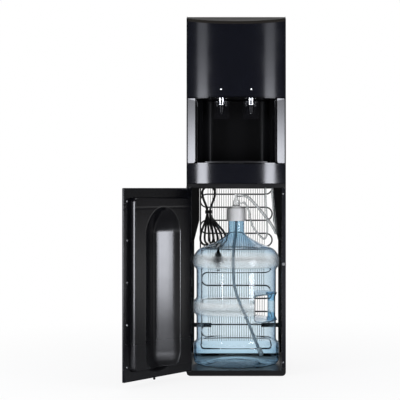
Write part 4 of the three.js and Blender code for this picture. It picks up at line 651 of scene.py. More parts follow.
def serpentine():
    """Straight runs joined by half circles, on alternate sides."""
    route = []
    turn = np.linspace(0, pi, 13)[1:-1]
    for row in range(GRID_ROWS):
        side = 1 if row % 2 == 0 else -1
        z = GRID_TOP - row * GRID_PITCH
        for x in np.linspace(side * RUN_HALF, -side * RUN_HALF, 5):
            route.append((x, GRID_Y, z))
        if row < GRID_ROWS - 1:
            bend = GRID_PITCH / 2
            for angle in turn:
                route.append((-side * (RUN_HALF + bend * sin(angle)), GRID_Y, z - bend + bend * cos(angle)))
    return np.array(route)


grid_tube = tube("condenser_tube", serpentine(), GRID_TUBE, grid_black, 10)
settle(grid_tube, "cabinet", "black_sheet", "condenser")


def wires():
    """Upright wires of eight sides, sunk a little into the tube's front or back: all in one mesh."""
    order = np.arange(WIRE_COUNT)
    x = (order - (WIRE_COUNT - 1) / 2) * WIRE_PITCH
    y = GRID_Y + np.where(order % 2 == 0, -1, 1) * (GRID_TUBE + WIRE_RADIUS * 0.6)
    z = np.array([GRID_TOP - (GRID_ROWS - 1) * GRID_PITCH - WIRE_BELOW, GRID_TOP + WIRE_ABOVE])
    ring = circle(WIRE_SIDES) * WIRE_RADIUS
    corners = np.empty((WIRE_COUNT, 2, WIRE_SIDES, 3))
    corners[..., 0] = x[:, None, None] + ring[:, 0]
    corners[..., 1] = y[:, None, None] + ring[:, 1]
    corners[..., 2] = z[None, :, None]
    index = np.arange(corners[..., 0].size).reshape(WIRE_COUNT, 2, WIRE_SIDES)
    after = np.roll(index, -1, axis=2)
    sides = np.stack([index[:, 0], after[:, 0], after[:, 1], index[:, 1]], axis=-1).reshape(-1, 4)
    ends = np.concatenate([index[:, 0, ::-1], index[:, 1]])
    mesh = bpy.data.meshes.new("condenser_wires")
    mesh.from_pydata(corners.reshape(-1, 3).tolist(), [], sides.tolist() + ends.tolist())
    return as_object("condenser_wires", mesh, grid_black)


settle(wires(), "cabinet", "black_sheet")

# ---------------------------------------------------------------- side panels, base and sheet metal
# The cabinet's sides are folded sheet with a gloss coat, the base is a moulded tray, and shelves, back
# and hinges are black powder-coated steel. They keep their plain solids, and get their finish here.
FLOW_WAVES = (22, 0.00025, 0.35, 2)


def piano(name, colour=(0.0035, 0.004, 0.007), roughness=0.15):
    """Gloss black: faint flow waves in the coat, and patches where hands have dulled it."""
    paint = Paint(name, colour, roughness, Specular_IOR_Level=0.55)
    dull = paint.noise(7, 3, 0.6).above(0.45, 0.8)
    paint.feed("Roughness", dull * 0.07 + roughness)
    return paint.grain(*FLOW_WAVES)


def powder(name, colour=(0.006, 0.006, 0.0065), roughness=0.45):
    """Powder coat: fine orange peel and a slightly uneven sheen."""
    paint = Paint(name, colour, roughness).uneven(30, roughness - 0.07, 0.14, 0.3, 0.75, 4)
    return paint.grain(420, 0.00012, 0.6)


def moulded(name, colour=(0.006, 0.006, 0.007), roughness=0.38, grain=1400, specular=0.5):
    """Moulded plastic: spark-eroded grain of under a millimetre, with lighter rubbed patches."""
    paint = Paint(name, colour, roughness, Specular_IOR_Level=specular)
    rubbed = paint.noise(24, 4, 0.6).above(0.55, 0.85)
    lighter = tuple(min(1.0, part * 1.6 + 0.004) for part in colour)
    paint.feed("Base Color", paint.mix(rubbed, colour, lighter))
    paint.feed("Roughness", rubbed * -0.08 + roughness)
    return paint.grain(grain, 0.00006, 0.7, 2)


gloss = piano("gloss_black")
coat = powder("black_powder_coat")
plastic = moulded("black_moulding")
dress(piano("side_gloss", roughness=0.2), "side_panel_left", "side_panel_right")
dress(moulded("base_moulding", roughness=0.34), "base_pan")
dress(coat, "bay_shelf", "rear_panel", "tank_shelf", "door_hinge_upper", "door_hinge_lower")

# ---------------------------------------------------------------- top cap
# Moulded lid that slopes down to the bowed front, with a thin raised rim along its front edge.
HALF = 0.150
HEIGHT = 1.090
CABINET_BACK = 0.165
PANEL_HALF = 0.1467
BOW = 0.045
BOW_SAG = 0.043
BOW_RADIUS = (PANEL_HALF ** 2 + BOW_SAG ** 2) / (2 * BOW_SAG)
BOW_CENTRE = CABINET_FRONT - BOW + BOW_RADIUS
RIDGE = CABINET_FRONT + 0.029
TOP_SLOPE = 0.324
SIDE_SHEET = 0.0018
LID_FOOT = 0.0085
LID_SKIRT = 0.0175


def bow(x, inset=0.0):
    """Front of the cabinet at x: a circular arc, inset by a distance."""
    return BOW_CENTRE - np.sqrt((BOW_RADIUS - inset) ** 2 - x ** 2)


def top_at(y):
    """Height of the top at y: level, and sloping down in front of the ridge."""
    return HEIGHT - TOP_SLOPE * np.maximum(0, RIDGE - y)


def slab(name, outer, inner, paint, crease=40, bevel=0.0):
    """The closed shell between two grids of the same shape, whose four borders are joined."""
    body = np.concatenate([outer, inner[:, ::-1]], axis=1)
    first = np.concatenate([outer[:1], outer[:1, ::-1]], axis=1)
    last = np.concatenate([outer[-1:], outer[-1:, ::-1]], axis=1)
    made = surface(name, np.concatenate([first, body, last]), paint, crease)
    if bevel:
        edge = made.modifiers.new("edges", "BEVEL")
        edge.width = bevel
        edge.segments = 2
        edge.limit_method = "ANGLE"
        edge.angle_limit = radians(50)
    return made


def lid():
    """For each x, a line from the foot of the front edge up over the rim, up the slope, over the ridge,
    to the back and down the skirt; the inner line runs 3 mm below it. Each is given as (y, z) pairs, of
    numbers or of columns with one number for each x."""
    x = np.linspace(-PANEL_HALF, PANEL_HALF, 65)[:, None]
    front = bow(x)
    rim = top_at(front)
    slope_end = RIDGE - 0.006
    back = CABINET_BACK - SIDE_SHEET
    outer = [
        (front, rim - LID_FOOT), (front, rim - 0.0008), (front + 0.0003, rim - 0.0002), (front + 0.0008, rim),
        (front + 0.0018, top_at(front + 0.0018)), (front + 0.0022, top_at(front + 0.0022) - 0.0013),
        (front + 0.0030, top_at(front + 0.0030) - 0.0015), (slope_end, top_at(slope_end) - 0.0015),
        (RIDGE - 0.002, HEIGHT - 0.0019), (RIDGE + 0.003, HEIGHT - 0.0015), (0, HEIGHT - 0.0015),
        (back - 0.003, HEIGHT - 0.0015), (back - 0.0008, HEIGHT - 0.0023), (back, HEIGHT - 0.0045),
        (back, HEIGHT - LID_SKIRT),
    ]
    inner = [
        (front + 0.0025, rim - LID_FOOT), (front + 0.0025, rim - 0.007), (front + 0.0027, rim - 0.0065),
        (front + 0.0030, rim - 0.006), (front + 0.0034, rim - 0.0057), (front + 0.0037, rim - 0.0055),
        (front + 0.0040, rim - 0.0052), (slope_end, top_at(slope_end) - 0.0046),
        (RIDGE - 0.002, HEIGHT - 0.0049), (RIDGE + 0.003, HEIGHT - 0.0045), (0, HEIGHT - 0.0045),
        (back - 0.005, HEIGHT - 0.0045), (back - 0.0035, HEIGHT - 0.0052), (back - 0.0025, HEIGHT - 0.0065),
        (back - 0.0025, HEIGHT - LID_SKIRT),
    ]

    def grid(pairs):
        y, z = (np.hstack([0 * x + pair[k] for pair in pairs]) for k in (0, 1))
        widened = np.where(y > CABINET_FRONT + 0.0033, (HALF - SIDE_SHEET) / PANEL_HALF, 1.0)
        return np.stack([x * widened, y, z], axis=-1)

    paint = moulded("lid_moulding", (0.012, 0.010, 0.008), 0.55, 900, 0.12)
    return slab("lid", grid(outer), grid(inner), paint, 50)


settle(lid(), "cabinet", "satin_black", "top_cap")

# ---------------------------------------------------------------- front panels
# Two gloss mouldings bowed to one arc: a tall one with the indicator lamps, which follows the sloping
# lid, and a short one under the niche. Their ends turn back between the side panels' hems.
RETURN = CABINET_FRONT + 0.003
PANEL_CORNER = 0.0012
WALL = 0.0025
UPPER_LOW = 0.8411
UPPER_GAP = 0.0088
LOWER_LOW = 0.582
LOWER_HIGH = 0.6405


def distinct(line):
    """The line without points that repeat the one before."""
    moved = np.linalg.norm(np.diff(line, axis=0), axis=1) > SAME_SPOT
    return line[np.append(True, moved)]


def inset_line(line, depth):
    """A plan line moved to its left by depth, corner by corner."""
    step = np.gradient(line, axis=0)
    step = step / np.linalg.norm(step, axis=1, keepdims=True)
    return line + depth * np.stack([-step[:, 1], step[:, 0]], axis=1)


def bowed_plan():
    """From the left return round the arc to the right return, with its two corners rounded."""
    x = np.linspace(-PANEL_HALF, PANEL_HALF, 73)
    arc = np.stack([x, bow(x), 0 * x], axis=1)
    arc[0, 2] = arc[-1, 2] = PANEL_CORNER
    return distinct(rounded(np.vstack([(-PANEL_HALF, RETURN, 0), arc, (PANEL_HALF, RETURN, 0)])))


def upright(name, plan, depth, low, high, paint, bevel=0.0007):
    """A wall that stands on a plan line, from low to high, where high is a number or a function of y."""
    inner = inset_line(plan, depth)

    def grid(line):
        head = high(line[:, 1]) if callable(high) else np.full(len(line), high)
        share = np.linspace(0, 1, 8)[None, :]
        z = low + (head[:, None] - low) * share
        return at_height(np.broadcast_to(line[:, None, :], (*z.shape, 2)), z)

    return slab(name, grid(plan), grid(inner), paint, 40, bevel)


front_plan = bowed_plan()
upper = upright("upper_panel", front_plan, WALL, UPPER_LOW, lambda y: top_at(y) - UPPER_GAP, gloss)
settle(upper, "cabinet", "gloss_black", "upper_front_panel")
lower = upright("lower_panel", front_plan, WALL, LOWER_LOW, LOWER_HIGH, gloss)
settle(lower, "cabinet", "gloss_black", "lower_front_panel")

# ---------------------------------------------------------------- dispensing niche
# One black moulding: flared pillars at the front, upright side walls and a rounded back, with a floor
# that has a hole for the drip tray and a ceiling that the taps come through.
NICHE_LOW = 0.6408
NICHE_HIGH = 0.8402
NICHE_HALF_PLAN = [
    (0.1465, -0.166, 0), (0.118, -0.154, 0.010), (0.106, -0.131, 0.012), (0.100, -0.071, 0.015),
    (0.084, -0.047, 0.014),
]
NICHE_WALL = 0.0022
FLARE_END = (-0.156, -0.132)
TRAY_HALF = 0.095
TRAY_BACK = CABINET_FRONT + 0.070
TRAY_GAP = 0.003
TRAY_FRONT_CORNER = 0.004
TRAY_BACK_CORNER = 0.006
TRAY_HOLE_INSET = 0.0052
HOLE_REACH = (0.63, 0.65)

# The flared pillars are glossy. The moulding turns matt from where their flare ends.
niche_satin = Paint(
    "niche_moulding", (0.002, 0.002, 0.0025), 0.4, Specular_IOR_Level=0.12, Coat_Roughness=0.09,
)
matt = niche_satin.along("Y").above(*FLARE_END)
niche_satin.feed("Roughness", matt * 0.38 + niche_satin.noise(60, 3) * 0.06 + 0.10)
niche_satin.feed("Coat Weight", 1.0 - matt * 0.95)
niche_satin.grain(1100, 0.00004, 0.5, 2)


def cut_out(made, cutter, crease=40):
    """Takes the cutter out of a piece, and the cutter out of the scene."""
    trim = made.modifiers.new("cut", "BOOLEAN")
    trim.object = cutter
    trim.operation = "DIFFERENCE"
    trim.solver = "EXACT"
    bpy.context.view_layer.update()
    seen = made.evaluated_get(bpy.context.evaluated_depsgraph_get())
    finished = bpy.data.meshes.new_from_object(seen)
    made.modifiers.remove(trim)
    made.data = finished
    finished.set_sharp_from_angle(angle=radians(crease))
    bpy.data.objects.remove(cutter)


def plate(name, plan, low, high, paint):
    """A level plate between the front arc and a plan line whose points run across it."""
    front = np.stack([plan[:, 0], bow(plan[:, 0])], axis=1)
    share = np.linspace(0, 1, 10)[None, :, None]
    flat = front[:, None, :] + (plan - front)[:, None, :] * share
    return slab(name, at_height(flat, high), at_height(flat, low), paint)


def tray_plan(inset):
    """The drip tray's outline, counter-clockwise: it follows the front arc, with rounded corners."""
    half = TRAY_HALF - inset
    x = np.linspace(-half, half, 33)
    arc = np.stack([x, bow(x, TRAY_GAP + inset), 0 * x], axis=1)
    arc[0, 2] = arc[-1, 2] = TRAY_FRONT_CORNER
    start = (-half, (TRAY_BACK + arc[0, 1]) / 2, 0)
    back = TRAY_BACK - inset
    corners = (half, back, TRAY_BACK_CORNER), (-half, back, TRAY_BACK_CORNER)
    return distinct(rounded(np.vstack([start, arc, *corners, start])))[:-1]


niche_half = np.array(NICHE_HALF_PLAN)
niche_plan = distinct(rounded(np.concatenate([niche_half * (-1, 1, 1), niche_half[::-1]]), 10))
walls = upright("niche_walls", niche_plan, NICHE_WALL, NICHE_LOW, NICHE_HIGH, niche_satin, 0.0004)
ceiling = plate("niche_ceiling", niche_plan, NICHE_HIGH - WALL, NICHE_HIGH, niche_satin)
niche_floor = plate("niche_floor", niche_plan, NICHE_LOW, NICHE_LOW + WALL, niche_satin)
hole = np.stack([at_height(tray_plan(TRAY_HOLE_INSET), z) for z in HOLE_REACH])
cut_out(niche_floor, surface("hole", capped(hole), niche_satin))
settle(walls, "cabinet", "satin_black", "dispenser_niche")
settle(ceiling, "cabinet", "satin_black")
settle(niche_floor, "cabinet", "satin_black")

# ---------------------------------------------------------------- drip tray and grille
# The tray's basin hangs through the floor on its rim, and the slotted steel grille lies in the rim.
# The profile gives (inset of the outline, height), from under the basin round the rim to its inside.
TRAY_PROFILE = [
    (0.0100, 0.6120), (0.0070, 0.6122), (0.0060, 0.6140), (0.0060, 0.6436), (0.0004, 0.6436), (0.0, 0.6440),
    (0.0, 0.6474), (0.0006, 0.6480), (0.0014, 0.6480), (0.0020, 0.6474), (0.0020, 0.6455), (0.0080, 0.6455),
    (0.0080, 0.6160), (0.0100, 0.6140),
]

tray_rings = np.stack([at_height(tray_plan(inset), z) for inset, z in TRAY_PROFILE])
tray_black = moulded("tray_moulding", (0.010, 0.010, 0.011), 0.28)
tray = surface("tray_moulding", capped(tray_rings), tray_black)
settle(tray, "tray", "satin_black", "drip_tray")

steel = Paint("brushed_steel", (0.60, 0.61, 0.63), 0.3, Metallic=1.0)
brushing = steel.noise(300, 3, 0.6, (0.06, 1, 1))
steel.feed("Roughness", brushing * 0.2 + 0.2)
steel.bump(brushing, 0.00003, 0.6)
dress(steel, "drip_grille", "catch_strike", "cold_tank", "hot_tank", "heater_band")

# ---------------------------------------------------------------- taps
# Chrome barrels with black nozzles, and dished paddles that hang behind them from a pin in the ceiling.
TAP_X = 0.045
TAPS = (("hot", -TAP_X), ("cold", TAP_X))
TAP_Y = CABINET_FRONT + 0.022
PADDLE_Y = CABINET_FRONT + 0.044
PADDLE_WIDTH = 0.048
PADDLE_LOW = 0.7785
PADDLE_HIGH = 0.8345
PADDLE_CORNER = 0.009
PADDLE_DISH = 0.0025
PADDLE_FACES = (-0.0004, 0.0026)
STEM_LOW = 0.8085
STEM_Y = PADDLE_Y + 0.0015
STEM_HALF_WIDTH = 0.010
STEM_HALF_THICK = 0.0015
PIN_Z = 0.8485
PIN_HALF = 0.014
PIN_THIN = 0.0029
PIN_HUB = 0.0048

chrome = Paint("chrome", (0.82, 0.83, 0.85), 0.06, Metallic=1.0).uneven(130, 0.04, 0.08, 0.4)
paddle_black = moulded("paddle_moulding", (0.003, 0.003, 0.004), 0.16)
nozzle_black = moulded("nozzle_moulding", (0.003, 0.003, 0.004), 0.32, 1400, 0.15)


def rounded_box(half, low, high, corner, steps):
    """The outline of a rectangle from the middle of its lower side round, with rounded corners."""
    return distinct(rounded([
        (0, low, 0), (half, low, corner), (half, high, corner), (-half, high, corner), (-half, low, corner),
        (0, low, 0),
    ], steps))[:-1]


def paddle_grid(x, y):
    """A rounded rectangle in x and z as a grid of nested outlines, whose y falls back in the middle by
    a parabola in x, as a dish for the cup's rim."""
    half = PADDLE_WIDTH / 2
    outline = rounded_box(half, PADDLE_LOW, PADDLE_HIGH, PADDLE_CORNER, 8)
    outline = distinct(denser(np.vstack([outline, outline[:1]]), 0.003))[:-1]
    middle = np.array([0, (PADDLE_LOW + PADDLE_HIGH) / 2])
    flat = middle + (outline - middle) * np.linspace(0, 1, 9)[:, None, None]
    dish = PADDLE_DISH * (flat[..., 0] / half) ** 2
    return np.stack([x + flat[..., 0], y - dish, flat[..., 1]], axis=-1)


for side, x in TAPS:
    barrel = revolved(f"barrel_{side}", [
        (0.003, 0.8402, 0), (0.003, 0.8187, 0.0004), (0.009, 0.8187, 0.0012), (0.0098, 0.8215, 0.001),
        (0.0098, 0.8255, 0.0006), (0.0092, 0.8262, 0.0004), (0.0098, 0.8270, 0.0004),
        (0.0098, 0.8402, 0.0003), (0.003, 0.8402, 0),
    ], (x, TAP_Y, 0), chrome, 56, closed=True)
    settle(barrel, "cabinet", "chrome", f"tap_barrel_{side}")
    nozzle = revolved(f"nozzle_{side}", [
        (0.0028, 0.8180, 0), (0.0028, 0.7940, 0.0003), (0.0052, 0.7937, 0.0008), (0.0064, 0.7965, 0.002),
        (0.0086, 0.8135, 0.002), (0.0088, 0.8180, 0.0006), (0.0028, 0.8180, 0),
    ], (x, TAP_Y, 0), nozzle_black, 48, closed=True)
    settle(nozzle, "cabinet", "satin_black", f"tap_nozzle_{side}")

    front_face, back_face = (paddle_grid(x, PADDLE_Y + off) for off in PADDLE_FACES)
    faces = np.concatenate([front_face, back_face[::-1]])
    blade = surface(f"paddle_{side}_blade", faces, paddle_black, 50)
    settle(blade, f"paddle_{side}", "satin_black", f"push_paddle_{side}")
    section = rounded_box(STEM_HALF_WIDTH, -STEM_HALF_THICK, STEM_HALF_THICK, 0.001, 4) + (x, STEM_Y)
    rings = np.stack([at_height(section, z) for z in np.linspace(STEM_LOW, PIN_Z, 12)])
    ends = (x, STEM_Y, STEM_LOW), (x, STEM_Y, PIN_Z)
    stem = surface(f"paddle_{side}_stem", capped(rings, *ends), paddle_black)
    settle(stem, f"paddle_{side}", "satin_black")
    line = np.linspace((x - PIN_HALF, PADDLE_Y, PIN_Z), (x + PIN_HALF, PADDLE_Y, PIN_Z), 7)
    radii = np.array([PIN_THIN] * 2 + [PIN_HUB] * 3 + [PIN_THIN] * 2)
    settle(tube(f"paddle_{side}_pin", line, radii, paddle_black, 20), f"paddle_{side}", "satin_black")

    outlet = revolved(f"outlet_{side}", [
        (0.0029, 0.7960, 0), (0.0029, 0.7936, 0.0003), (0.0046, 0.7936, 0.0006), (0.0050, 0.7944, 0.0004),
        (0.0050, 0.7960, 0), (0.0029, 0.7960, 0),
    ], (x, TAP_Y, 0), chrome, 32, closed=True)
    settle(outlet, "cabinet", "chrome")
dress(plastic, "tap_valve_hot", "tap_valve_cold")

# ---------------------------------------------------------------- indicator lamps
# Domed windows in the upper panel over each tap, lit white from the board behind them.
LENS_Z = 0.863
LENS_Y = bow(TAP_X) - 0.0006
LENS_FLANGE = LENS_Y + 0.0075
LENS_BACK = LENS_Y + 0.009

lamp_white = Paint("lit_lens", (0.9, 0.92, 0.95), 0.2, Emission_Strength=1.6).uneven(600, 0.12, 0.15)
lamp_white.feed("Emission Color", (0.92, 0.95, 1.0, 1))
for side, x in TAPS:
    dome = revolved(f"lens_{side}", [
        (0, LENS_Y, 0), (0.0016, LENS_Y + 0.0002, 0.0006), (0.0024, LENS_Y + 0.0012, 0.0006),
        (0.0024, LENS_FLANGE, 0), (0.0036, LENS_FLANGE, 0), (0.0036, LENS_BACK, 0), (0, LENS_BACK, 0),
    ], (x, 0, LENS_Z), lamp_white, 32, lying=True)
    settle(dome, "cabinet", "lit_lens", f"indicator_lens_{side}")
board_green = moulded("board_green", (0.02, 0.09, 0.045), 0.5)
dress(board_green, "indicator_board")

# ---------------------------------------------------------------- door
# A bowed gloss shell with a moulded liner. The liner's raised block is hollowed by a trough that follows
# the bottle. It stands open 128 degrees on two pins at the cabinet's left edge.
DOOR_LOW = 0.018
DOOR_HIGH = 0.568
DOOR_HALF = HALF - 0.001
DOOR_RIM = CABINET_FRONT - 0.0015
DOOR_SAG = 0.038
DOOR_RADIUS = (DOOR_HALF ** 2 + DOOR_SAG ** 2) / (2 * DOOR_SAG)
DOOR_SKIN = 0.0025
DOOR_CORNER = 0.002
LEAST_CORNER = 0.0002
RIM_WIDTH = 0.0062

# Rings that round the shell's lower and upper edges, as (inset, distance from the end).
EDGE_STEPS = [(0.0030, 0.0), (0.0014, 0.0002), (0.0004, 0.0010), (0.0, 0.0026)]
PLAIN_FROM = 0.03
ROOM_PAST_RIM = 0.002
DOOR_OPEN = radians(128)
PIN = np.array([-0.1435, CABINET_FRONT - 0.009])
LINER_TOP = CABINET_FRONT + 0.018
LINER_SIDE_GAP = 0.0007
LINER_END_GAP = 0.0003
TROUGH_HALF = 0.075
TROUGH_DEPTH = 0.038
TROUGH_RADIUS = (TROUGH_HALF ** 2 + TROUGH_DEPTH ** 2) / (2 * TROUGH_DEPTH)
TROUGH_LOW = 0.040
TROUGH_HIGH = 0.507

# The trough's section, as distances from its middle and the depths there, and the shares of its radius
# that close it towards its foot and its head, with the heights at which they hold.
TROUGH_SECTION = (
    np.array([-0.006, 0.0, 0.006, 0.014, 0.026, 0.038, 0.050, 0.062, 0.070, 0.075, 0.090]),
    np.array([0.0374, 0.0380, 0.0374, 0.0348, 0.0296, 0.0241, 0.0181, 0.0114, 0.0052, 0.0, -0.02]),
)
TROUGH_HEIGHTS = np.concatenate([
    TROUGH_LOW + np.array([-0.024, -0.012, 0.004, 0.024, 0.046]),
    TROUGH_HIGH + np.array([-0.070, -0.042, -0.016, 0.012, 0.030]),
])
TROUGH_SHARES = np.array([0.0, 0.45, 0.75, 0.94, 1.0, 1.0, 0.93, 0.78, 0.5, 0.0])
LIP = 0.0025
LEAST_SQUARE = 1e-8
BLOCK_HALF = 0.123
BLOCK_LOW = 0.045
BLOCK_HIGH = 0.541
BLOCK_CORNER = 0.012
SHOULDER_WIDTH = 0.0045
WORN_FOOT = (0.02, 0.17)


def hung(points):
    """Points of the closed door, turned about the pins to where it stands open."""
    away = points[..., :2] - PIN
    turn = np.array([[cos(DOOR_OPEN), -sin(DOOR_OPEN)], [sin(DOOR_OPEN), cos(DOOR_OPEN)]])
    return np.concatenate([PIN + away @ turn, points[..., 2:]], axis=-1)


def door_bow(x, inset=0.0):
    """Front of the closed door at x."""
    return CABINET_FRONT - BOW + DOOR_RADIUS - np.sqrt((DOOR_RADIUS - inset) ** 2 - x ** 2)


def plan_ring(inset, z, rim=DOOR_RIM, corner=0.004):
    """The closed outline of the door at height z: the arc and the straight back at the rim."""
    half = DOOR_HALF - inset
    x = np.linspace(-half, half, 97)
    arc = np.stack([x, door_bow(x, inset), 0 * x], axis=1)
    arc[0, 2] = arc[-1, 2] = DOOR_CORNER
    by = max(corner - inset, LEAST_CORNER)
    flat = half - RIM_WIDTH
    back = (half, rim, by), (flat, rim, 0), (-flat, rim, 0), (-half, rim, by)
    start = (-half, (rim + arc[0, 1]) / 2, 0)
    return at_height(rounded(np.vstack([start, arc, *back, start]))[:-1], z)


def skin_grid():
    """Rings of the shell's outside, from the bottom up, with rounded lower and upper edges."""
    rings = [plan_ring(inset, DOOR_LOW + up) for inset, up in EDGE_STEPS]
    rings += [plan_ring(0.0, z) for z in np.linspace(DOOR_LOW + PLAIN_FROM, DOOR_HIGH - PLAIN_FROM, 18)]
    rings += [plan_ring(inset, DOOR_HIGH - up) for inset, up in reversed(EDGE_STEPS)]
    return capped(np.stack(rings))


def skin_hollow():
    """The room inside the shell, which reaches past the shell's rim and so is open towards the back."""
    heights = np.linspace(DOOR_LOW + DOOR_SKIN, DOOR_HIGH - DOOR_SKIN, 12)
    rim = DOOR_RIM + ROOM_PAST_RIM
    return capped(np.stack([plan_ring(DOOR_SKIN, z, rim, LEAST_CORNER) for z in heights]))


skin = surface("door_shell", hung(skin_grid()), gloss)
cut_out(skin, surface("door_room", hung(skin_hollow()), gloss))
settle(skin, "door", "gloss_black", "door_skin")


def smooth_between(at, places, values):
    """A curve through the values that doesn't overshoot: cubic, with harmonic mean slopes."""
    step = np.diff(values) / np.diff(places)
    slope = np.zeros(len(values))
    same = step[:-1] * step[1:] > 0
    mean = 2 * step[:-1] * step[1:] / np.where(same, step[:-1] + step[1:], 1)
    slope[1:-1] = np.where(same, mean, 0)
    slope[0], slope[-1] = step[0], step[-1]
    k = np.clip(np.searchsorted(places, at) - 1, 0, len(step) - 1)
    wide = np.diff(places)[k]
    t = np.clip((at - places[k]) / wide, 0, 1)
    a, b = values[k], values[k + 1]
    return (
        a * (2 * t ** 3 - 3 * t ** 2 + 1) + b * (3 * t ** 2 - 2 * t ** 3)
        + wide * (slope[k] * (t ** 3 - 2 * t ** 2 + t) + slope[k + 1] * (t ** 3 - t ** 2))
    )


def block_depth(x, z):
    """Y of the liner's face without its trough: a block with rounded corners in plan, which rises from
    the rim over SHOULDER_WIDTH by a quarter circle."""
    side = np.abs(x) - BLOCK_HALF + BLOCK_CORNER
    end = np.abs(z - (BLOCK_LOW + BLOCK_HIGH) / 2) - (BLOCK_HIGH - BLOCK_LOW) / 2 + BLOCK_CORNER
    out = np.hypot(np.maximum(side, 0), np.maximum(end, 0)) + np.minimum(np.maximum(side, end), 0)
    way = np.clip((BLOCK_CORNER - out) / SHOULDER_WIDTH, 0, 1)
    return DOOR_RIM + (LINER_TOP - DOOR_RIM) * np.sqrt(1 - (1 - way) ** 2)


def trough_depth(x, z):
    """Depth of the trough under the block's face: TROUGH_SECTION, scaled to the half width and the depth
    that a circle of radius r(z) has there. r(z) closes it at its foot and its sloping arch. Near its
    edge, where the depth d is under LIP, it becomes (d + LIP)^2 / (4 LIP), which rounds the edge."""
    radius = TROUGH_RADIUS * smooth_between(z, TROUGH_HEIGHTS, TROUGH_SHARES)
    axis_out = TROUGH_RADIUS - TROUGH_DEPTH
    deepest = radius - axis_out
    half = np.sqrt(np.maximum(radius ** 2 - axis_out ** 2, LEAST_SQUARE))
    depth = deepest / TROUGH_DEPTH * smooth_between(np.abs(x) / half * TROUGH_HALF, *TROUGH_SECTION)
    soft = np.where(depth > LIP, depth, (depth + LIP) ** 2 / (4 * LIP))
    return soft * (depth > -LIP) * (deepest > 0)


def with_edges(start, end, count, low_edge, high_edge):
    """Even places from start to end, and closer ones from 1 mm outside two edges to 6 mm inside them."""
    return np.unique(np.concatenate([
        np.linspace(start, end, count), np.linspace(low_edge - 0.001, low_edge + 0.006, 15),
        np.linspace(high_edge - 0.006, high_edge + 0.001, 15),
    ]))


def liner_grids():
    """The face, with more points along the block's edges, and a back one wall in front of it."""
    half = DOOR_HALF - DOOR_SKIN - LINER_SIDE_GAP
    low = DOOR_LOW + DOOR_SKIN + LINER_END_GAP
    high = DOOR_HIGH - DOOR_SKIN - LINER_END_GAP
    x = with_edges(-half, half, 121, -BLOCK_HALF, BLOCK_HALF)
    z = with_edges(low, high, 181, BLOCK_LOW, BLOCK_HIGH)
    across, up = np.meshgrid(x, z, indexing="ij")
    face = np.stack([across, block_depth(across, up) - trough_depth(across, up), up], axis=-1)
    return face, face - (0, DOOR_SKIN, 0)


# The liner has the panels' gloss, which turns matt towards its foot.
liner_gloss = Paint("liner_gloss", (0.0015, 0.0016, 0.0025), 0.16, Specular_IOR_Level=0.55)
worn = 1.0 - liner_gloss.along("Z").above(*WORN_FOOT)
liner_gloss.feed("Roughness", worn * 0.35 + liner_gloss.noise(40, 3) * 0.04 + 0.17)
liner_gloss.grain(*FLOW_WAVES)
liner = slab("liner_moulding", *(hung(grid) for grid in liner_grids()), liner_gloss, 60)
settle(liner, "door", "gloss_black", "door_liner")

# Cross-head screws hold the liner at its margin and the frame at its corners.
SCREW_X = 0.1345
SCREW_HEIGHTS = (0.060, 0.180, 0.300, 0.420, 0.530)
FRAME_SCREWS = ((-0.1415, 0.5500), (0.1415, 0.5500), (-0.1415, 0.0450), (0.1415, 0.0410))
HEAD_RADIUS = 0.0030
FRAME_HEAD_RADIUS = 0.0028
HEAD_HEIGHT = 0.0016
GROOVE_HALF = 0.00042
GROOVE_DEPTH = 0.0008
GROOVE_SHARE = 0.62
HEAD_SUNK = 0.0006

screw_steel = Paint("screw_steel", (0.70, 0.71, 0.73), 0.25, Metallic=1.0).uneven(400, 0.2, 0.15)


def screw_grid(centre, radius, facing):
    """A pan head whose height falls towards its rim, with two crossing grooves pressed in it: the groove
    fades with the distance from each arm's middle line. It faces the back (1) or the front (-1)."""
    turn = np.linspace(0, 2 * pi, 49)[:-1]
    share = np.concatenate([np.linspace(0.02, 0.6, 9), np.linspace(0.68, 1, 7)])[:, None]
    x, z = share * radius * np.cos(turn), share * radius * np.sin(turn)
    arm = np.minimum(np.abs(x), np.abs(z))
    groove = np.clip(1 - (arm / GROOVE_HALF) ** 4, 0, 1) * (share < GROOVE_SHARE)
    height = HEAD_HEIGHT * np.sqrt(1 - 0.85 * share ** 4) - GROOVE_DEPTH * groove
    face = np.stack([x, height, z], axis=-1)
    rim = face[-1:] * (1, 0, 1) - (0, HEAD_SUNK, 0)
    grid = capped(np.concatenate([face, rim]), (0, HEAD_HEIGHT - GROOVE_DEPTH, 0), (0, -HEAD_SUNK, 0))
    return grid * (1, facing, 1) + centre


for side, x in (("left", -SCREW_X), ("right", SCREW_X)):
    for count, z in enumerate(SCREW_HEIGHTS, 1):
        grid = hung(screw_grid((x, DOOR_RIM, z), HEAD_RADIUS, 1))
        settle(surface(f"liner_screw_{side}_{count}", grid, screw_steel, 35), "door", "steel")
for count, (x, z) in enumerate(FRAME_SCREWS, 1):
    grid = screw_grid((x, CABINET_FRONT + 0.0002, z), FRAME_HEAD_RADIUS, -1)
    settle(surface(f"frame_screw_{count}", grid, screw_steel, 35), "cabinet", "steel")
dress(plastic, "door_glide")

# ---------------------------------------------------------------- back of the cabinet
# A red and a green rocker switch for the two tanks in a black housing, and a black drain plug.
for side, name, colour in (
    ("hot", "red_rocker", (0.36, 0.02, 0.02)), ("cold", "green_rocker", (0.02, 0.16, 0.05)),
):
    dress(Paint(name, colour, 0.3).uneven(200, 0.25, 0.15), f"rear_switch_rocker_{side}")
dress(plastic, "rear_switch_housing", "drain_plug", "control_box", "hose_bulkhead")

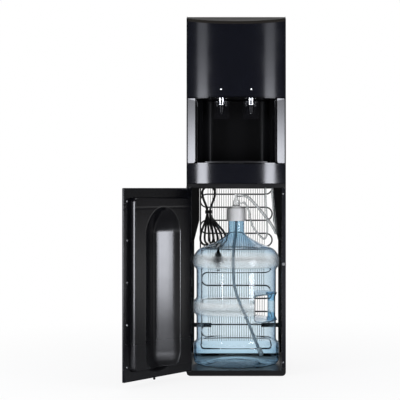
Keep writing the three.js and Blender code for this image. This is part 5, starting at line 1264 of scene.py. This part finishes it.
# ---------------------------------------------------------------- machinery
# Inside the cabinet: a round black compressor on its rubber-footed plate, the pump, copper pipes, a foam
# block around the cold tank with its coil, and the banded hot tank.
copper = Paint("copper", (0.62, 0.27, 0.15), 0.28, Metallic=1.0)
tarnish = copper.noise(45, 5, 0.65).above(0.45, 0.75)
copper.feed("Base Color", copper.mix(tarnish, (0.66, 0.29, 0.16), (0.30, 0.14, 0.09)))
copper.feed("Roughness", tarnish * 0.25 + 0.22)
foam = Paint("white_foam", (0.78, 0.78, 0.74), 0.9)
foam.grain(240, 0.0006, detail=4)
foam.feed("Base Color", foam.mix(foam.noise(9, 4).above(0.4, 0.8), (0.80, 0.80, 0.76), (0.68, 0.66, 0.58)))
dress(foam, "cold_tank_insulation")
dress(copper, "evaporator_coil", "filter_drier", "discharge_pipe")
dress(powder("compressor_black", (0.010, 0.010, 0.011), 0.36), "compressor", "condenser_outlet_pipe")
dress(coat, "compressor_mount")
dress(moulded("pump_white", (0.55, 0.55, 0.53), 0.45), "water_pump")

# ---------------------------------------------------------------- room
# A pale floor under a pale sky that is white to the camera and behind the object, and dark where gloss
# mirrors the room in front. Two tall soft lamps stand at the front corners and one hangs overhead.
LAMP_TINT = (0.90, 0.92, 1.0)
FLOOR_REACH = 9.0
FLOOR_WHITE = 0.85
SKY_LEVEL = 0.65
GLOSS_LEVEL = 0.05


def sees(tree, kind):
    """1 for a ray of this kind, such as Camera or Glossy, and else 0."""
    return tree.node("ShaderNodeLightPath", output=f"Is {kind} Ray")


ground = Paint("pale_floor", (0.86, 0.86, 0.87), 0.65)
mirrored = sees(ground, "Glossy")
refracted = sees(ground, "Transmission")
floor_y = ground.along("Y")
in_front = 1.0 - floor_y.above(-0.35, 0.4)
near = floor_y.above(-2.0, -0.8)
far = ground.node(
    "ShaderNodeVectorMath", {"operation": "LENGTH"}, {0: ground.place()}, "Value",
).above(0.3, 1.6)
shown = ground.mix(mirrored * (1.0 - refracted) * in_front, (1, 1, 1), (0.03, 0.03, 0.035))
whiteness = ground.node("ShaderNodeEmission", None, {"Color": shown, "Strength": 1.0})

# Seen directly or through the bottle, the floor keeps a little of its shading, and so the soft shadow,
# where the object stands, and none of it further away.
seen_white = (sees(ground, "Camera") + refracted) * (far * (1 - FLOOR_WHITE) + FLOOR_WHITE)
blend = ground.node("ShaderNodeMixShader", None, {
    0: seen_white + mirrored * near * FLOOR_WHITE,
    1: Value(ground, ground.shader.outputs[0]), 2: whiteness,
})
ground.join(blend, ground.tree.nodes["Material Output"].inputs["Surface"])

floor_mesh = bpy.data.meshes.new("floor")
floor_corners = [(x * FLOOR_REACH, y * FLOOR_REACH, 0) for x, y in ((-1, -1), (1, -1), (1, 1), (-1, 1))]
floor_mesh.from_pydata(floor_corners, [], [(0, 1, 2, 3)])
floor_mesh.materials.append(ground.material)
floor = bpy.data.objects.new("floor", floor_mesh)
bpy.context.collection.objects.link(floor)


class Tree(Paint):
    """The node tree of a world or a lamp, filled with the same methods as a material's."""

    def __init__(self, tree):
        self.tree = tree


world = bpy.data.worlds.new("sky")
world.use_nodes = True
bpy.context.scene.world = world
background = world.node_tree.nodes["Background"]
sky = Tree(world.node_tree)
through_glass = sees(sky, "Transmission")
in_gloss = sees(sky, "Glossy")
bearing = sky.node("ShaderNodeTexCoord", output="Generated")
behind = sky.node("ShaderNodeSeparateXYZ", None, {0: bearing}, "Y").above(0.12, 0.6)
white = sky.maths("MINIMUM", sees(sky, "Camera") + through_glass + in_gloss * behind, 1.0)
dark = in_gloss * (1.0 - through_glass) * (1.0 - behind) * (SKY_LEVEL - GLOSS_LEVEL)
sky.join(white * (1.0 - SKY_LEVEL) + SKY_LEVEL - dark, background.inputs["Strength"])
background.inputs["Color"].default_value = (1, 1, 1, 1)


def soft_lamp(name, place, aim, width, height, level, profile=()):
    """A rectangular lamp: its power is its radiance times pi times its area. A profile of (share of the
    height, share of the level) dims it along its height, as a flag in front of a lamp does."""
    data = bpy.data.lights.new(name, "AREA")
    data.shape = "RECTANGLE"
    data.size, data.size_y = width, height
    data.energy = level * pi * width * height
    data.color = LAMP_TINT
    lamp = bpy.data.objects.new(name, data)
    lamp.location = place
    line = np.array(aim, float) - np.array(place, float)
    flat = np.hypot(line[0], line[1])
    lamp.rotation_euler = (np.arctan2(flat, -line[2]), 0, np.arctan2(line[1], line[0]) - pi / 2)
    lamp.visible_camera = False
    bpy.context.collection.objects.link(lamp)
    if profile:
        data.use_nodes = True
        glow = Tree(data.node_tree)
        spot = glow.node("ShaderNodeNewGeometry", output="Parametric")
        up = glow.node("ShaderNodeSeparateXYZ", None, {0: spot}, "Y")
        shade = glow.node("ShaderNodeValToRGB", {"stops": [(at, (v, v, v)) for at, v in profile]}, {0: up})
        glow.join(shade, data.node_tree.nodes["Emission"].inputs["Strength"])


LAMP_AWAY = 2.6
LAMP_ANGLE = radians(44)
LAMP_Z = 0.9
LAMP_SIZE = (0.62, 1.8)
LAMP_LEVEL = 16.0
LAMP_PROFILE = [(0.0, 0.6), (0.04, 1.0), (0.3, 1.0), (0.42, 0.9), (0.54, 0.3), (0.66, 0.12), (1.0, 0.03)]
for name, side in (("lamp_left", -1), ("lamp_right", 1)):
    stand = (side * LAMP_AWAY * sin(LAMP_ANGLE), -LAMP_AWAY * cos(LAMP_ANGLE), LAMP_Z)
    soft_lamp(name, stand, (0, 0, LAMP_Z), *LAMP_SIZE, LAMP_LEVEL, LAMP_PROFILE)
soft_lamp("lamp_overhead", (0, -0.3, 3.0), (0, 0, 0.5), width=1.8, height=1.4, level=2.2)
